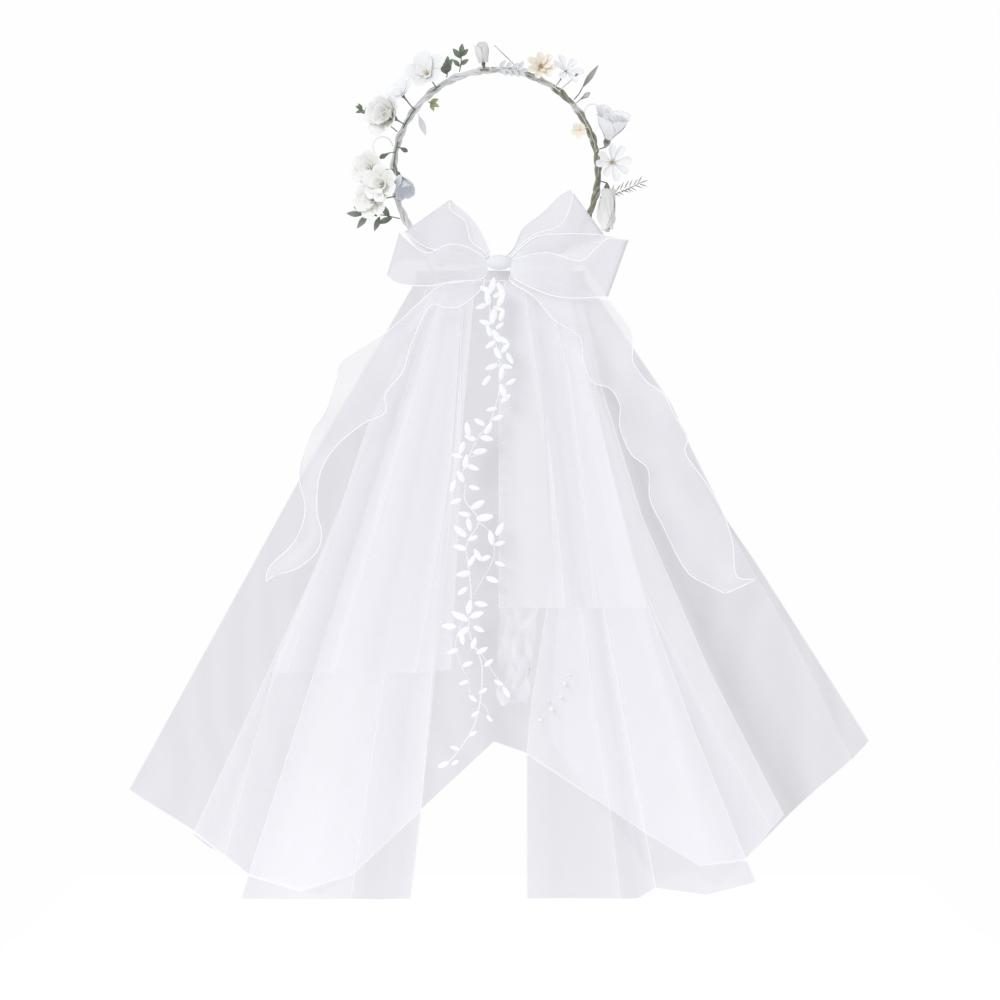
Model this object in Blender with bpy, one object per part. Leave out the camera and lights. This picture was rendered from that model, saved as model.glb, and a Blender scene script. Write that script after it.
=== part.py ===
"""Flower crown: a head circlet of silk flowers with an organza bow, ribbon tails and a tulle veil.

The piece hangs upright. The origin is the centre of the circlet, which lies in the XZ plane.
+X runs to the right, +Z up, and the flowers and the bow face -Y. Units are metres.
The two wire ends carry eyelets, and the rolled tie ribbon through them is the pin that the bow and veil swing on.
"""
import math

import bmesh
import bpy
from mathutils import Matrix, Vector

for existing in list(bpy.data.objects):
    bpy.data.objects.remove(existing, do_unlink=True)

MM = 0.001

# circlet
HOOP_RADIUS = 92 * MM
HOOP_OPEN_HALF_ANGLE = math.radians(32)
WIRE_RADIUS = 1.1 * MM
WRAP_RADIUS = 3.3 * MM
WRAP_SHORT_OF_END = math.radians(7)
GAP = 0.3 * MM

# tie ribbon and its eyelets
EYELET_RADIUS = 4.2 * MM
EYELET_WIRE = 0.8 * MM
TIE_RADIUS = 2.5 * MM
TIE_PAST_EYELET = 7 * MM

# bow
RIBBON_THICKNESS = 0.6 * MM
KNOT_SIZE = (11 * MM, 7 * MM, 7 * MM)
KNOT_X = 3 * MM
LOOP_ROOT_HALF_WIDTH = 5 * MM

# tails
TAIL_HINGE_BELOW_TIE = 35 * MM
TAIL_SPLIT = 0.4 * MM
ROOT_DEPTH = -6 * MM
TAIL_TOP_DEPTH = -11 * MM
TAIL_DEPTH = -14 * MM
TAIL_WAVE = 2 * MM

# veil
HEADER_LEFT = -72 * MM
HEADER_RIGHT = 80 * MM
HEADER_DEPTH = 5 * MM
HEADER_DROP = 6 * MM
HEADER_TALL = 9 * MM
VEIL_THICKNESS = 0.5 * MM
BACK_DEPTH = 8.2 * MM
LAYER_STEP = 1.2 * MM
VEIL_LENGTH = 558 * MM
SHORT_LEFT_LENGTH = 352 * MM
SHORT_RIGHT_LENGTH = 298 * MM

# embroidered vine
VINE_RADIUS = 0.9 * MM
VINE_TOP_DEPTH = -14 * MM
VINE_DEPTH = -18 * MM

HOOP_END_X = HOOP_RADIUS * math.sin(HOOP_OPEN_HALF_ANGLE)
HOOP_END_Z = -HOOP_RADIUS * math.cos(HOOP_OPEN_HALF_ANGLE)
TIE_Z = HOOP_END_Z - EYELET_RADIUS
HEADER_TOP_Z = TIE_Z - HEADER_DROP
VEIL_TOP_Z = HEADER_TOP_Z - HEADER_TALL - GAP
MIDDLE_DEPTH = BACK_DEPTH - LAYER_STEP
FRONT_DEPTH = MIDDLE_DEPTH - LAYER_STEP
SHORT_DEPTH = FRONT_DEPTH - LAYER_STEP


# ---------------------------------------------------------------- materials

def material(name, colour, roughness, metallic=0.0):
    made = bpy.data.materials.new(name)
    made.use_nodes = True
    shader = made.node_tree.nodes["Principled BSDF"]
    shader.inputs["Base Color"].default_value = (*colour, 1.0)
    shader.inputs["Roughness"].default_value = roughness
    shader.inputs["Metallic"].default_value = metallic
    return made


STEEL = material("galvanised_wire", (0.55, 0.56, 0.57), 0.4, 1.0)
WRAP = material("white_wrap", (0.78, 0.79, 0.74), 0.8)
SILK = material("white_silk", (0.86, 0.87, 0.88), 0.7)
CREAM = material("cream_silk", (0.85, 0.80, 0.66), 0.7)
LEAF = material("green_leaf", (0.10, 0.16, 0.09), 0.6)
OLIVE = material("olive_leaf", (0.36, 0.38, 0.15), 0.6)
GREY_LEAF = material("grey_leaf", (0.36, 0.40, 0.37), 0.6)
STEM = material("stem_tape", (0.22, 0.27, 0.14), 0.7)
ORGANZA = material("white_organza", (0.82, 0.81, 0.86), 0.5)
TULLE = material("white_tulle", (0.82, 0.81, 0.86), 0.6)
LACE = material("white_lace", (0.88, 0.88, 0.90), 0.8)
PEARL = material("pearl", (0.90, 0.88, 0.85), 0.25)


# ---------------------------------------------------------------- shape makers

def finish(name, mesh_data, look, smooth_angle=40):
    """Turns a bmesh into one named object with outward faces and its own material."""
    bmesh.ops.recalc_face_normals(mesh_data, faces=mesh_data.faces)
    mesh = bpy.data.meshes.new(name)
    mesh_data.to_mesh(mesh)
    mesh_data.free()
    mesh.shade_smooth()
    mesh.set_sharp_from_angle(angle=math.radians(smooth_angle))
    mesh.materials.append(look)
    made = bpy.data.objects.new(name, mesh)
    bpy.context.scene.collection.objects.link(made)
    return made


def sheet_solid(name, rows, thickness, look):
    """A closed sheet: rows of points, and the same rows moved by one thickness vector for each row."""
    body = bmesh.new()
    front = [[body.verts.new(p) for p in row] for row in rows]
    back = [[body.verts.new(p + step) for p in row] for row, step in zip(rows, thickness)]
    last_row = len(rows) - 1
    last_point = len(rows[0]) - 1
    for j in range(last_row):
        for i in range(last_point):
            body.faces.new((front[j][i], front[j][i + 1], front[j + 1][i + 1], front[j + 1][i]))
            body.faces.new((back[j][i], back[j + 1][i], back[j + 1][i + 1], back[j][i + 1]))
        for i in (0, last_point):
            body.faces.new((front[j][i], front[j + 1][i], back[j + 1][i], back[j][i]))
    for i in range(last_point):
        for j in (0, last_row):
            body.faces.new((front[j][i], front[j][i + 1], back[j][i + 1], back[j][i]))
    return finish(name, body, look)


def add_tube(body, points, radii, sides):
    """Adds a capped tube with a radius for each point to a bmesh."""
    side = Vector((0, 1, 0))
    rings = []
    last = len(points) - 1
    for i, point in enumerate(points):
        along = (points[min(i + 1, last)] - points[max(i - 1, 0)]).normalized()
        if abs(along.dot(side)) > 0.95:
            side = Vector((1, 0, 0))
        across = (side - along * side.dot(along)).normalized()
        other = along.cross(across)
        side = across
        ring = []
        for k in range(sides):
            turn = 2 * math.pi * k / sides
            ring.append(body.verts.new(point + (across * math.cos(turn) + other * math.sin(turn)) * radii[i]))
        rings.append(ring)
    for lower, upper in zip(rings, rings[1:]):
        for k in range(sides):
            n = (k + 1) % sides
            body.faces.new((lower[k], lower[n], upper[n], upper[k]))
    body.faces.new(rings[0])
    body.faces.new(rings[-1])


def tube(name, points, radii, look, sides=6):
    body = bmesh.new()
    add_tube(body, points, radii, sides)
    return finish(name, body, look)


def unite(main, others):
    """Boolean union of closed solids; the other solids stay as hidden guides."""
    for other in others:
        other.hide_render = True
        other.display_type = "WIRE"
        joined = main.modifiers.new("union", "BOOLEAN")
        joined.operation = "UNION"
        joined.solver = "EXACT"
        joined.object = other
    return main


def petal_cup(name, petals, radius, height, notch, look, spread=1.0, lift=1.8, thickness=0.5 * MM):
    """A lobed cup around +Z whose outside bottom is the origin: one die-cut layer of petals."""
    per_petal = 6
    rings = (0.4, 0.75, 1.0)
    around = petals * per_petal
    body = bmesh.new()
    skins = []
    for skin in (1, 0):
        centre = body.verts.new((0, 0, skin * thickness))
        grid = []
        for share in rings:
            ring = []
            for k in range(around):
                turn = 2 * math.pi * k / around
                lobe = abs(math.cos(petals * turn / 2))
                reach = radius * (1 - notch * share * (1 - lobe))
                out = reach * share ** spread
                up = height * share ** lift * (reach / radius) + skin * thickness
                ring.append(body.verts.new((out * math.cos(turn), out * math.sin(turn), up)))
            grid.append(ring)
        for k in range(around):
            n = (k + 1) % around
            body.faces.new((centre, grid[0][k], grid[0][n]))
            for inner, outer in zip(grid, grid[1:]):
                body.faces.new((inner[k], outer[k], outer[n], inner[n]))
        skins.append(grid)
    for k in range(around):
        n = (k + 1) % around
        body.faces.new((skins[0][-1][k], skins[0][-1][n], skins[1][-1][n], skins[1][-1][k]))
    return finish(name, body, look)


def round_body(name, radius, length, look, fullness=0.5, sides=8):
    """A turned bud or dome around +Z that starts at the origin and is widest at the given share."""
    body = bmesh.new()
    steps = 6
    points = []
    radii = []
    for i in range(steps + 1):
        share = i / steps
        swell = math.sin(math.pi * (0.06 + 0.88 * share ** (math.log(0.5) / math.log(fullness))))
        points.append(Vector((0, 0, length * share)))
        radii.append(radius * swell)
    add_tube(body, points, radii, sides)
    return finish(name, body, look)


def leaf_sprig(name, length, leaves, leaf_long, leaf_wide, look, angle=50, end_leaf=True, stem=0.5 * MM,
               thickness=0.7 * MM, curl=0.0):
    """A flat sprig along +X: one outline that runs up one side of the stem, leaf by leaf, and down the other."""
    lean = math.radians(angle)

    def leaf_points(foot, sign):
        along = Vector((math.cos(lean), sign * math.sin(lean)))
        across = Vector((-along.y, along.x)) * sign
        base = Vector((foot, sign * stem))
        half = leaf_wide / 2
        neck = stem * 0.8
        return [
            base + Vector((neck, 0)),
            base + along * leaf_long * 0.45 - across * half,
            base + along * leaf_long,
            base + along * leaf_long * 0.45 + across * half,
            base - Vector((neck, 0)),
        ]

    feet = [length * (i + 0.6) / leaves for i in range(leaves)]
    outline = [Vector((0, -stem))]
    for foot in feet:
        outline += reversed(leaf_points(foot, -1))
    tip = length + (leaf_long * 0.3 if end_leaf else 0)
    if end_leaf:
        outline.append(Vector((length, -stem)))
        outline.append(Vector((length + leaf_long * 0.45, -leaf_wide / 2)))
        tip = length + leaf_long
    outline.append(Vector((tip, 0)))
    if end_leaf:
        outline.append(Vector((length + leaf_long * 0.45, leaf_wide / 2)))
        outline.append(Vector((length, stem)))
    for foot in reversed([f + length * 0.2 / leaves for f in feet]):
        outline += leaf_points(foot, 1)
    outline.append(Vector((0, stem)))
    body = bmesh.new()
    flat = body.faces.new([body.verts.new((p.x, p.y, 0)) for p in outline])
    made = bmesh.ops.extrude_face_region(body, geom=[flat])
    top = [v for v in made["geom"] if isinstance(v, bmesh.types.BMVert)]
    bmesh.ops.translate(body, verts=top, vec=(0, 0, thickness))
    bmesh.ops.triangulate(body, faces=body.faces)
    for vert in body.verts:
        vert.co.z += curl * (vert.co.x / length) ** 2
    return finish(name, body, look, 20)


# ---------------------------------------------------------------- placing on the circlet

def on_hoop(degrees, out=0.0, depth=0.0):
    """A point at an angle round the circlet, so far outside its centreline and so far behind its plane."""
    turn = math.radians(degrees)
    reach = HOOP_RADIUS + out
    return Vector((reach * math.cos(turn), depth, reach * math.sin(turn)))


def outwards(degrees, tilt, lean=0.0):
    """A direction tilted from the front towards the outside of the ring, then turned round it by lean."""
    turn = math.radians(degrees + lean)
    radial = Vector((math.cos(turn), 0, math.sin(turn)))
    return Vector((0, -1, 0)) * math.cos(math.radians(tilt)) + radial * math.sin(math.radians(tilt))


def aim(made, place, direction):
    """Puts an object's origin at a place with its +Z along a direction."""
    made.location = place
    made.rotation_mode = "QUATERNION"
    made.rotation_quaternion = direction.to_track_quat("Z", "Y")
    return made


def lay(made, place, direction, face=Vector((0, -1, 0))):
    """Puts a flat sprig's foot at a place, with +X along a direction and its flat side to the front."""
    x = direction.normalized()
    z = (face - x * face.dot(x)).normalized()
    y = z.cross(x)
    made.location = place
    made.rotation_mode = "QUATERNION"
    basis = [[x[i], y[i], z[i]] for i in range(3)]
    made.rotation_quaternion = Matrix(basis).to_quaternion()
    return made


STEM_RADIUS = 0.6 * MM
BUNCH_DEPTH = WRAP_RADIUS + GAP + STEM_RADIUS


def bunch_foot(degrees):
    """A point on the bunch wire, which is taped along the front of the wrap."""
    return on_hoop(degrees, 0, -BUNCH_DEPTH)


def flower_stem(name, foot, base, facing, calyx):
    """A wire stem from its foot to a flower, swelling into the calyx under its petals."""
    neck = base - facing * (calyx * 2.2 + GAP)
    points = [foot, foot.lerp(neck, 0.6), neck, base - facing * (calyx * 0.9 + GAP), base - facing * GAP]
    radii = [STEM_RADIUS, STEM_RADIUS, STEM_RADIUS * 1.5, calyx, calyx * 0.9]
    return tube(name, points, radii, STEM)


def bunch(name, first, last, stems):
    """Flowers wired in one bunch: a wire along the front of the wrap, and the stems that leave it."""
    steps = max(3, int(abs(last - first) / 6))
    points = [bunch_foot(first + (last - first) * i / steps) for i in range(steps + 1)]
    return unite(tube(name, points, [STEM_RADIUS] * len(points), STEM), stems)


# ---------------------------------------------------------------- circlet

def hoop_path(short_of_end, steps):
    """Points along the open hoop, from its right end over the top to its left end."""
    first = -math.pi / 2 + HOOP_OPEN_HALF_ANGLE + short_of_end
    last = 1.5 * math.pi - HOOP_OPEN_HALF_ANGLE - short_of_end
    turns = [first + (last - first) * i / steps for i in range(steps + 1)]
    return [Vector((math.cos(a), 0, math.sin(a))) * HOOP_RADIUS for a in turns]


def eyelet(name, sign):
    """A wire ring across the hoop's end, with its hole along X for the tie ribbon."""
    bpy.ops.mesh.primitive_torus_add(
        major_radius=EYELET_RADIUS, minor_radius=EYELET_WIRE, major_segments=16, minor_segments=6,
        location=(sign * HOOP_END_X, 0, TIE_Z), rotation=(0, math.pi / 2, 0))
    ring = bpy.context.object
    ring.name = name
    return ring


wire_steps = 48
wire = tube("hoop_wire", hoop_path(0, wire_steps), [WIRE_RADIUS] * (wire_steps + 1), STEEL)
unite(wire, [eyelet("eyelet_guide_left", -1), eyelet("eyelet_guide_right", 1)])

wrap_path = hoop_path(WRAP_SHORT_OF_END, wire_steps)
wrap_body = bmesh.new()
wrap_sides = 8
shells = []
for shell_radius in (WRAP_RADIUS, WIRE_RADIUS + GAP):
    shell = []
    for middle in wrap_path:
        radial = middle.normalized()
        shell.append([
            wrap_body.verts.new(middle + (radial * math.cos(2 * math.pi * k / wrap_sides)
                                          + Vector((0, math.sin(2 * math.pi * k / wrap_sides), 0))) * shell_radius)
            for k in range(wrap_sides)])
    shells.append(shell)
for shell in shells:
    for lower, upper in zip(shell, shell[1:]):
        for k in range(wrap_sides):
            n = (k + 1) % wrap_sides
            wrap_body.faces.new((lower[k], lower[n], upper[n], upper[k]))
for end in (0, -1):
    for k in range(wrap_sides):
        n = (k + 1) % wrap_sides
        wrap_body.faces.new((shells[0][end][k], shells[0][end][n], shells[1][end][n], shells[1][end][k]))
finish("hoop_wrap", wrap_body, WRAP)


# ---------------------------------------------------------------- flowers

def flower(name, degrees, out, depth, facing, petals, radius, height, notch, look=SILK, calyx=2.2 * MM,
           foot=None, spread=1.0, lift=1.8, centre=None, centre_look=CREAM):
    """One silk flower: its petals and, where it shows, its centre. Returns its stem, with the calyx."""
    base = on_hoop(degrees, out, depth)
    facing = facing.normalized()
    aim(petal_cup(name + "_petals", petals, radius, height, notch, look, spread, lift), base, facing)
    if centre:
        centre_radius, centre_height = centre
        dome = round_body(name + "_centre", centre_radius, centre_height, centre_look)
        aim(dome, base + facing * (0.5 * MM + GAP), facing)
    return flower_stem(name + "_wire", bunch_foot(foot or degrees), base, facing, calyx)


TWIG_RADIUS = 0.45 * MM


def twig(name, degrees, points, bud=0.0):
    """A thin wire that leaves the bunch wire through its own points, in millimetres, with or without a bud."""
    foot = bunch_foot(degrees)
    route = [foot] + [foot + Vector(p) * MM for p in points]
    radii = [TWIG_RADIUS] * len(route)
    if bud:
        radii[-4:] = [bud * 0.6, bud, bud * 0.7, bud * 0.2]
    return tube(name, route, radii, OLIVE, 5)


bunch("blossom_top_left_stem", 123, 128, [
    flower("blossom_top_left", 125.4, 14 * MM, -10 * MM, outwards(125, 30), 5, 15 * MM, 5 * MM, 0.35,
           centre=(2 * MM, 4 * MM))])
bunch("rose_bunch_stems", 142, 155, [
    flower("rose_left", 152.8, 13 * MM, -13 * MM, outwards(153, 50), 5, 15 * MM, 9 * MM, 0.2, spread=0.7,
           centre=(5 * MM, 8 * MM), calyx=3 * MM),
    flower("blossom_behind_rose", 141.0, 17 * MM, -5 * MM, outwards(139, 50), 5, 10 * MM, 4 * MM, 0.35,
           calyx=1.8 * MM, foot=143)])
bunch("cluster_stems", 163, 195, [
    flower("cluster_blossom_a", 179.0, 20 * MM, -8 * MM, outwards(180, 30), 5, 10 * MM, 4 * MM, 0.35),
    flower("cluster_blossom_b", 187.5, 10 * MM, -19 * MM, outwards(186, 20), 5, 11 * MM, 4 * MM, 0.35, foot=189),
    flower("cluster_blossom_c", 193.5, 20 * MM, -11 * MM, outwards(193, 30), 5, 11 * MM, 4 * MM, 0.35, foot=194),
    flower("bell_left", 183.0, -5 * MM, -10 * MM, Vector((0.35, -0.5, -0.75)), 5, 9 * MM, 16 * MM, 0.3,
           spread=0.6, lift=1.2, foot=175),
    twig("bud_twig_left", 169.0, ((-5, -2, -1), (-9, -2, -3), (-11, -2, -4), (-13, -2, -5), (-15, -2, -6)),
         2.6 * MM),
    twig("bud_twig_inside_left", 166.0, ((3, -1, -1), (5, -1, -2), (7, -1, -3), (9, -1, -4), (10, -1, -4.5)),
         2.4 * MM)])
bunch("top_right_stems", 51, 78, [
    flower("daisy_top_right", 66.6, 9 * MM, -10 * MM, outwards(66, 20), 6, 11.5 * MM, 3 * MM, 0.4, CREAM,
           centre=(2.6 * MM, 2.5 * MM)),
    flower("star_flower_top_right", 54.9, 17 * MM, -8 * MM, outwards(55, 40), 6, 11 * MM, 4 * MM, 0.55),
    twig("dark_bud_right", 52.0, ((10, 2, 9), (16, 3, 15), (17, 3, 17), (18, 3, 19), (18.5, 3, 21)), 2.0 * MM),
    twig("twig_top", 77.0, ((-6, -1, 8), (-14, 1, 16), (-22, 2, 24)))])
bunch("magnolia_bunch_stems", 11, 41, [
    flower("magnolia_right", 15.5, 12 * MM, -12 * MM, Vector((0.3, -0.45, 0.85)), 6, 17 * MM, 20 * MM, 0.3,
           spread=0.6, lift=1.3, calyx=3.4 * MM, foot=12),
    flower("small_flower_inside_right", 25.8, -8 * MM, -9 * MM, outwards(206, 25), 5, 7 * MM, 3 * MM, 0.35,
           CREAM, calyx=1.6 * MM),
    twig("bud_twig_right", 40.5, ((6, -1, 5), (9, -1, 7), (11, -1, 8.5), (13, -1, 10), (14.5, -1, 11)),
         2.6 * MM)])
bunch("daisy_right_stem", -1, 5, [
    flower("daisy_right", 4.0, 12 * MM, -11 * MM, outwards(0, 20), 8, 16 * MM, 4 * MM, 0.5, foot=2,
           centre=(3 * MM, 3 * MM))])

rosebud_base = on_hoop(96.6, 6.5 * MM, -7 * MM)
rosebud_way = outwards(96, 65).normalized()
aim(round_body("rosebud_top", 6 * MM, 13 * MM, CREAM, 0.42), rosebud_base, rosebud_way)
bunch("rosebud_top_stem", 94, 99, [
    flower_stem("rosebud_stem", bunch_foot(97), rosebud_base, rosebud_way, 2 * MM)])

hanging_base = on_hoop(-9.5, 9 * MM, -8 * MM)
hanging_way = Vector((0.05, -0.12, -1)).normalized()
aim(round_body("hanging_bud_right", 9.5 * MM, 34 * MM, SILK, 0.55), hanging_base, hanging_way)
bunch("hanging_bud_right_stem", -8, -3, [
    flower_stem("hanging_stem", bunch_foot(-5), hanging_base, hanging_way, 2.6 * MM)])


# ---------------------------------------------------------------- foliage

def sprig_on_hoop(name, degrees, direction, side_out, depth, *shape, **more):
    """A flat sprig whose foot stands just off the wrap."""
    made = leaf_sprig(name, *shape, **more)
    foot = on_hoop(degrees, side_out * (WRAP_RADIUS + GAP + 0.6 * MM), depth)
    return lay(made, foot, Vector(direction))


sprig_on_hoop("leaf_sprig_left", 205.5, (-1, 0, 0.10), 1, 5 * MM, 34 * MM, 3, 13 * MM, 5 * MM, LEAF, angle=48)
sprig_on_hoop("leaf_sprig_top", 110.0, (0.30, 0, 1), 1, 0, 9 * MM, 2, 8 * MM, 3.6 * MM, LEAF, angle=42)
sprig_on_hoop("dark_sprig_top", 117.5, (0.25, 0, 0.8), 1, 2 * MM, 7 * MM, 1, 6 * MM, 3.4 * MM, LEAF)
sprig_on_hoop("dark_sprig_left", 157.5, (-1, 0, 0.55), 1, 4 * MM, 22 * MM, 3, 7 * MM, 3.2 * MM, LEAF)
sprig_on_hoop("olive_leaf_left", 134.0, (0.75, 0, -0.35), -1, -1 * MM, 3 * MM, 1, 7 * MM, 3.2 * MM, OLIVE)
sprig_on_hoop("white_leaf_inside_left", 143.0, (0.35, 0, -1), -1, 0, 3 * MM, 0, 18 * MM, 8 * MM, SILK)
sprig_on_hoop("white_sprig_top", 90.0, (1, 0, -0.08), 0.2, -6 * MM, 16 * MM, 3, 6 * MM, 3 * MM, SILK)
sprig_on_hoop("grey_leaf_right", 46.5, (0.45, 0, 1), 1, 2 * MM, 5 * MM, 0, 25 * MM, 6 * MM, GREY_LEAF)
sprig_on_hoop("fern_right", -13.5, (1, 0, 0.36), 1, 4 * MM, 38 * MM, 8, 9 * MM, 1.6 * MM, GREY_LEAF, angle=42,
              stem=0.4 * MM)

def tendril(name, degrees, direction, size, turn):
    """A thin curl: an arc that leaves the outside of the wrap and bends back on itself."""
    foot = on_hoop(degrees, WRAP_RADIUS + GAP + TWIG_RADIUS, 2.5 * MM)
    steps = 12
    route = []
    for i in range(steps + 1):
        a = turn * i / steps
        route.append(foot + Vector((direction[0] * size * (1 - math.cos(a)), 0.2 * MM * i,
                                    direction[1] * size * math.sin(a))))
    return tube(name, route, [TWIG_RADIUS] * len(route), SILK, 5)


tendril("tendril_left", 166.0, (-1, 1), 9 * MM, math.radians(230))
tendril("tendril_right", 34.0, (1, 1), 8 * MM, math.radians(200))


# ---------------------------------------------------------------- bow

tie_half = HOOP_END_X + TIE_PAST_EYELET
tube("tie_ribbon", [Vector((x, 0, TIE_Z)) for x in (-tie_half, 0, tie_half)], [TIE_RADIUS] * 3, ORGANZA, 10)

KNOT_DEPTH = -(TIE_RADIUS + GAP + KNOT_SIZE[1])
knot_sides = 10
knot_body = bmesh.new()
knot_points = []
knot_radii = []
for knot_share in (-1, -0.85, -0.5, 0, 0.5, 0.85, 1):
    knot_points.append(Vector((KNOT_X + KNOT_SIZE[0] * knot_share, KNOT_DEPTH, TIE_Z)))
    knot_radii.append(KNOT_SIZE[1] * (0.62 + 0.38 * math.sqrt(1 - knot_share ** 2)))
add_tube(knot_body, knot_points, knot_radii, knot_sides)
finish("bow_knot", knot_body, ORGANZA)


def bow_loop(name, degrees, length, half_width, back, front):
    """A ribbon loop: out from the knot, round and back, wider towards its far end.

    back and front are the depths of the two runs, each given at the knot and at the far end.
    """
    sign = 1 if math.cos(math.radians(degrees)) > 0 else -1
    along = Vector((math.cos(math.radians(degrees)), 0, math.sin(math.radians(degrees))))
    across = Vector((-along.z, 0, along.x))
    root = Vector((KNOT_X + sign * (KNOT_SIZE[0] + GAP), 0, TIE_Z))
    root += along * LOOP_ROOT_HALF_WIDTH * abs(along.z)
    runs = []
    shares = (0, 0.2, 0.45, 0.7, 0.9)
    for share in shares:
        runs.append((share, back[0] + (back[1] - back[0]) * share))
    middle = (back[1] + front[1]) / 2
    half_gap = (front[1] - back[1]) / 2
    for bend in (-60, -20, 20, 60):
        a = math.radians(bend)
        runs.append((0.94 + 0.06 * math.cos(a), middle + half_gap * math.sin(a)))
    for share in reversed(shares):
        runs.append((share, front[0] + (front[1] - front[0]) * share))
    rows = []
    steps = []
    for i, (share, depth) in enumerate(runs):
        before = runs[max(i - 1, 0)]
        after = runs[min(i + 1, len(runs) - 1)]
        tangent = Vector(((after[0] - before[0]) * length, after[1] - before[1]))
        normal = Vector((-tangent.y, tangent.x)).normalized()
        half = LOOP_ROOT_HALF_WIDTH + (half_width - LOOP_ROOT_HALF_WIDTH) * min(1, share) ** 0.8
        centre = root + along * length * share + Vector((0, depth, 0))
        rows.append([centre + across * half * w for w in (-1, -0.33, 0.33, 1)])
        steps.append((along * normal.x + Vector((0, normal.y, 0))) * RIBBON_THICKNESS)
    return sheet_solid(name, rows, steps, ORGANZA)


bow_loop("loop_upper_left", 146, 70 * MM, 25 * MM, (-4.2 * MM, -6 * MM), (-8 * MM, -15 * MM))
bow_loop("loop_upper_right", 30, 78 * MM, 25 * MM, (-4.2 * MM, -6 * MM), (-8 * MM, -15 * MM))
bow_loop("loop_lower_left", 178, 80 * MM, 23 * MM, (-11 * MM, -19 * MM), (-15 * MM, -33 * MM))
bow_loop("loop_lower_right", -3, 90 * MM, 25 * MM, (-11 * MM, -19 * MM), (-15 * MM, -33 * MM))


# ---------------------------------------------------------------- tails

def tail(name, edges):
    """A ribbon tail between its outer and its inner edge, with a slow wave in depth below its top edge."""
    rows = []
    for i, (outer, inner) in enumerate(edges):
        depth = TAIL_DEPTH + TAIL_WAVE * math.sin(i * 1.3) if i else TAIL_TOP_DEPTH
        ends = [Vector((p[0] * MM, depth, TIE_Z + p[1] * MM)) for p in (outer, inner)]
        rows.append([ends[0].lerp(ends[1], share) for share in (0, 0.5, 1)])
    return sheet_solid(name, rows, [Vector((0, RIBBON_THICKNESS, 0))] * len(rows), ORGANZA)


# heights here are measured from the tie, in millimetres
TAIL_TOP = -(TAIL_HINGE_BELOW_TIE + TAIL_SPLIT) / MM
ROOT_END = -(TAIL_HINGE_BELOW_TIE - TAIL_SPLIT) / MM
TAIL_LEFT_EDGES = (
    ((-67, TAIL_TOP), (-46, TAIL_TOP)), ((-93, -57.8), (-77, -69.8)),
    ((-125, -82.8), (-81, -95.8)), ((-143, -104.8), (-99, -117.8)), ((-153, -134.8), (-100, -134.8)),
    ((-165, -151.8), (-143, -164.8)), ((-176, -192.8), (-158, -190.8)), ((-171, -222.8), (-160, -222.8)),
    ((-180, -249.8), (-158, -253.8)), ((-202, -271.8), (-166, -269.8)), ((-206, -285.8), (-192, -281.8)))
TAIL_RIGHT_EDGES = (
    ((101, TAIL_TOP), (36, TAIL_TOP)), ((120, -60.8), (68, -62.8)),
    ((123, -89.8), (80, -89.8)), ((136, -107.8), (100, -111.8)), ((160, -136.8), (111, -143.8)),
    ((172, -157.8), (121, -171.8)), ((172, -179.8), (137, -189.8)), ((189, -207.8), (138, -213.8)),
    ((205, -237.8), (152, -239.8)), ((212, -262.8), (170, -275.8)), ((222, -285.8), (190, -289.8)),
    ((233, -283.8), (207, -296.8)))
tail("tail_left", TAIL_LEFT_EDGES)
tail("tail_right", TAIL_RIGHT_EDGES)

TAIL_ROOT_EDGES = (
    ((-67, ROOT_END), (-46, ROOT_END)), ((-46, -18.8), (-40, -30.8)), ((-16, -10.8), (-14, -20.8)),
    ((3, -9.8), (3, -18.8)), ((20, -10.8), (18, -20.8)), ((56, -21.8), (34, -31.8)),
    ((101, ROOT_END), (36, ROOT_END)))


def tail_roots(name, edges):
    """The ribbon behind the knot and the lower loops, down to where each tail starts to swing."""
    rows = []
    middle = (len(edges) - 1) / 2
    for i, (outer, inner) in enumerate(edges):
        depth = ROOT_DEPTH + (TAIL_TOP_DEPTH - ROOT_DEPTH) * (abs(i - middle) / middle) ** 2
        ends = [Vector((p[0] * MM, depth, TIE_Z + p[1] * MM)) for p in (outer, inner)]
        rows.append([ends[0].lerp(ends[1], share) for share in (0, 0.5, 1)])
    return sheet_solid(name, rows, [Vector((0, RIBBON_THICKNESS, 0))] * len(rows), ORGANZA)


tail_roots("tail_roots", TAIL_ROOT_EDGES)


# ---------------------------------------------------------------- veil

header_points = 16
header_rows = []
for header_z in (HEADER_TOP_Z, HEADER_TOP_Z - HEADER_TALL):
    header_row = []
    for i in range(header_points + 1):
        header_x = HEADER_LEFT + (HEADER_RIGHT - HEADER_LEFT) * i / header_points
        header_row.append(Vector((header_x, HEADER_DEPTH + (0.8 * MM if i % 2 else 0), header_z)))
    header_rows.append(header_row)
sheet_solid("veil_header", header_rows, [Vector((0, 2.4 * MM, 0))] * 2, TULLE)


def veil_layer(name, left, right, hem, front_at_top, back_at_hem, pleat, rows=4):
    """A gathered layer: straight pleats from the header, from left to right, to the points of its hem."""
    last = len(hem) - 1
    grid = []
    for j in range(rows):
        share = j / (rows - 1)
        row = []
        for i, (hem_x, hem_z) in enumerate(hem):
            top = Vector((left + (right - left) * i / last, front_at_top, VEIL_TOP_Z))
            fold = pleat if i % 2 else -pleat
            foot = Vector((hem_x * MM, back_at_hem + fold, hem_z * MM))
            row.append(top.lerp(foot, share))
        grid.append(row)
    return sheet_solid(name, grid, [Vector((0, VEIL_THICKNESS, 0))] * rows, TULLE)


def reach(length):
    """The height of a hem that hangs so far below the gathered edge, in millimetres."""
    return (VEIL_TOP_Z - length) / MM


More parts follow.
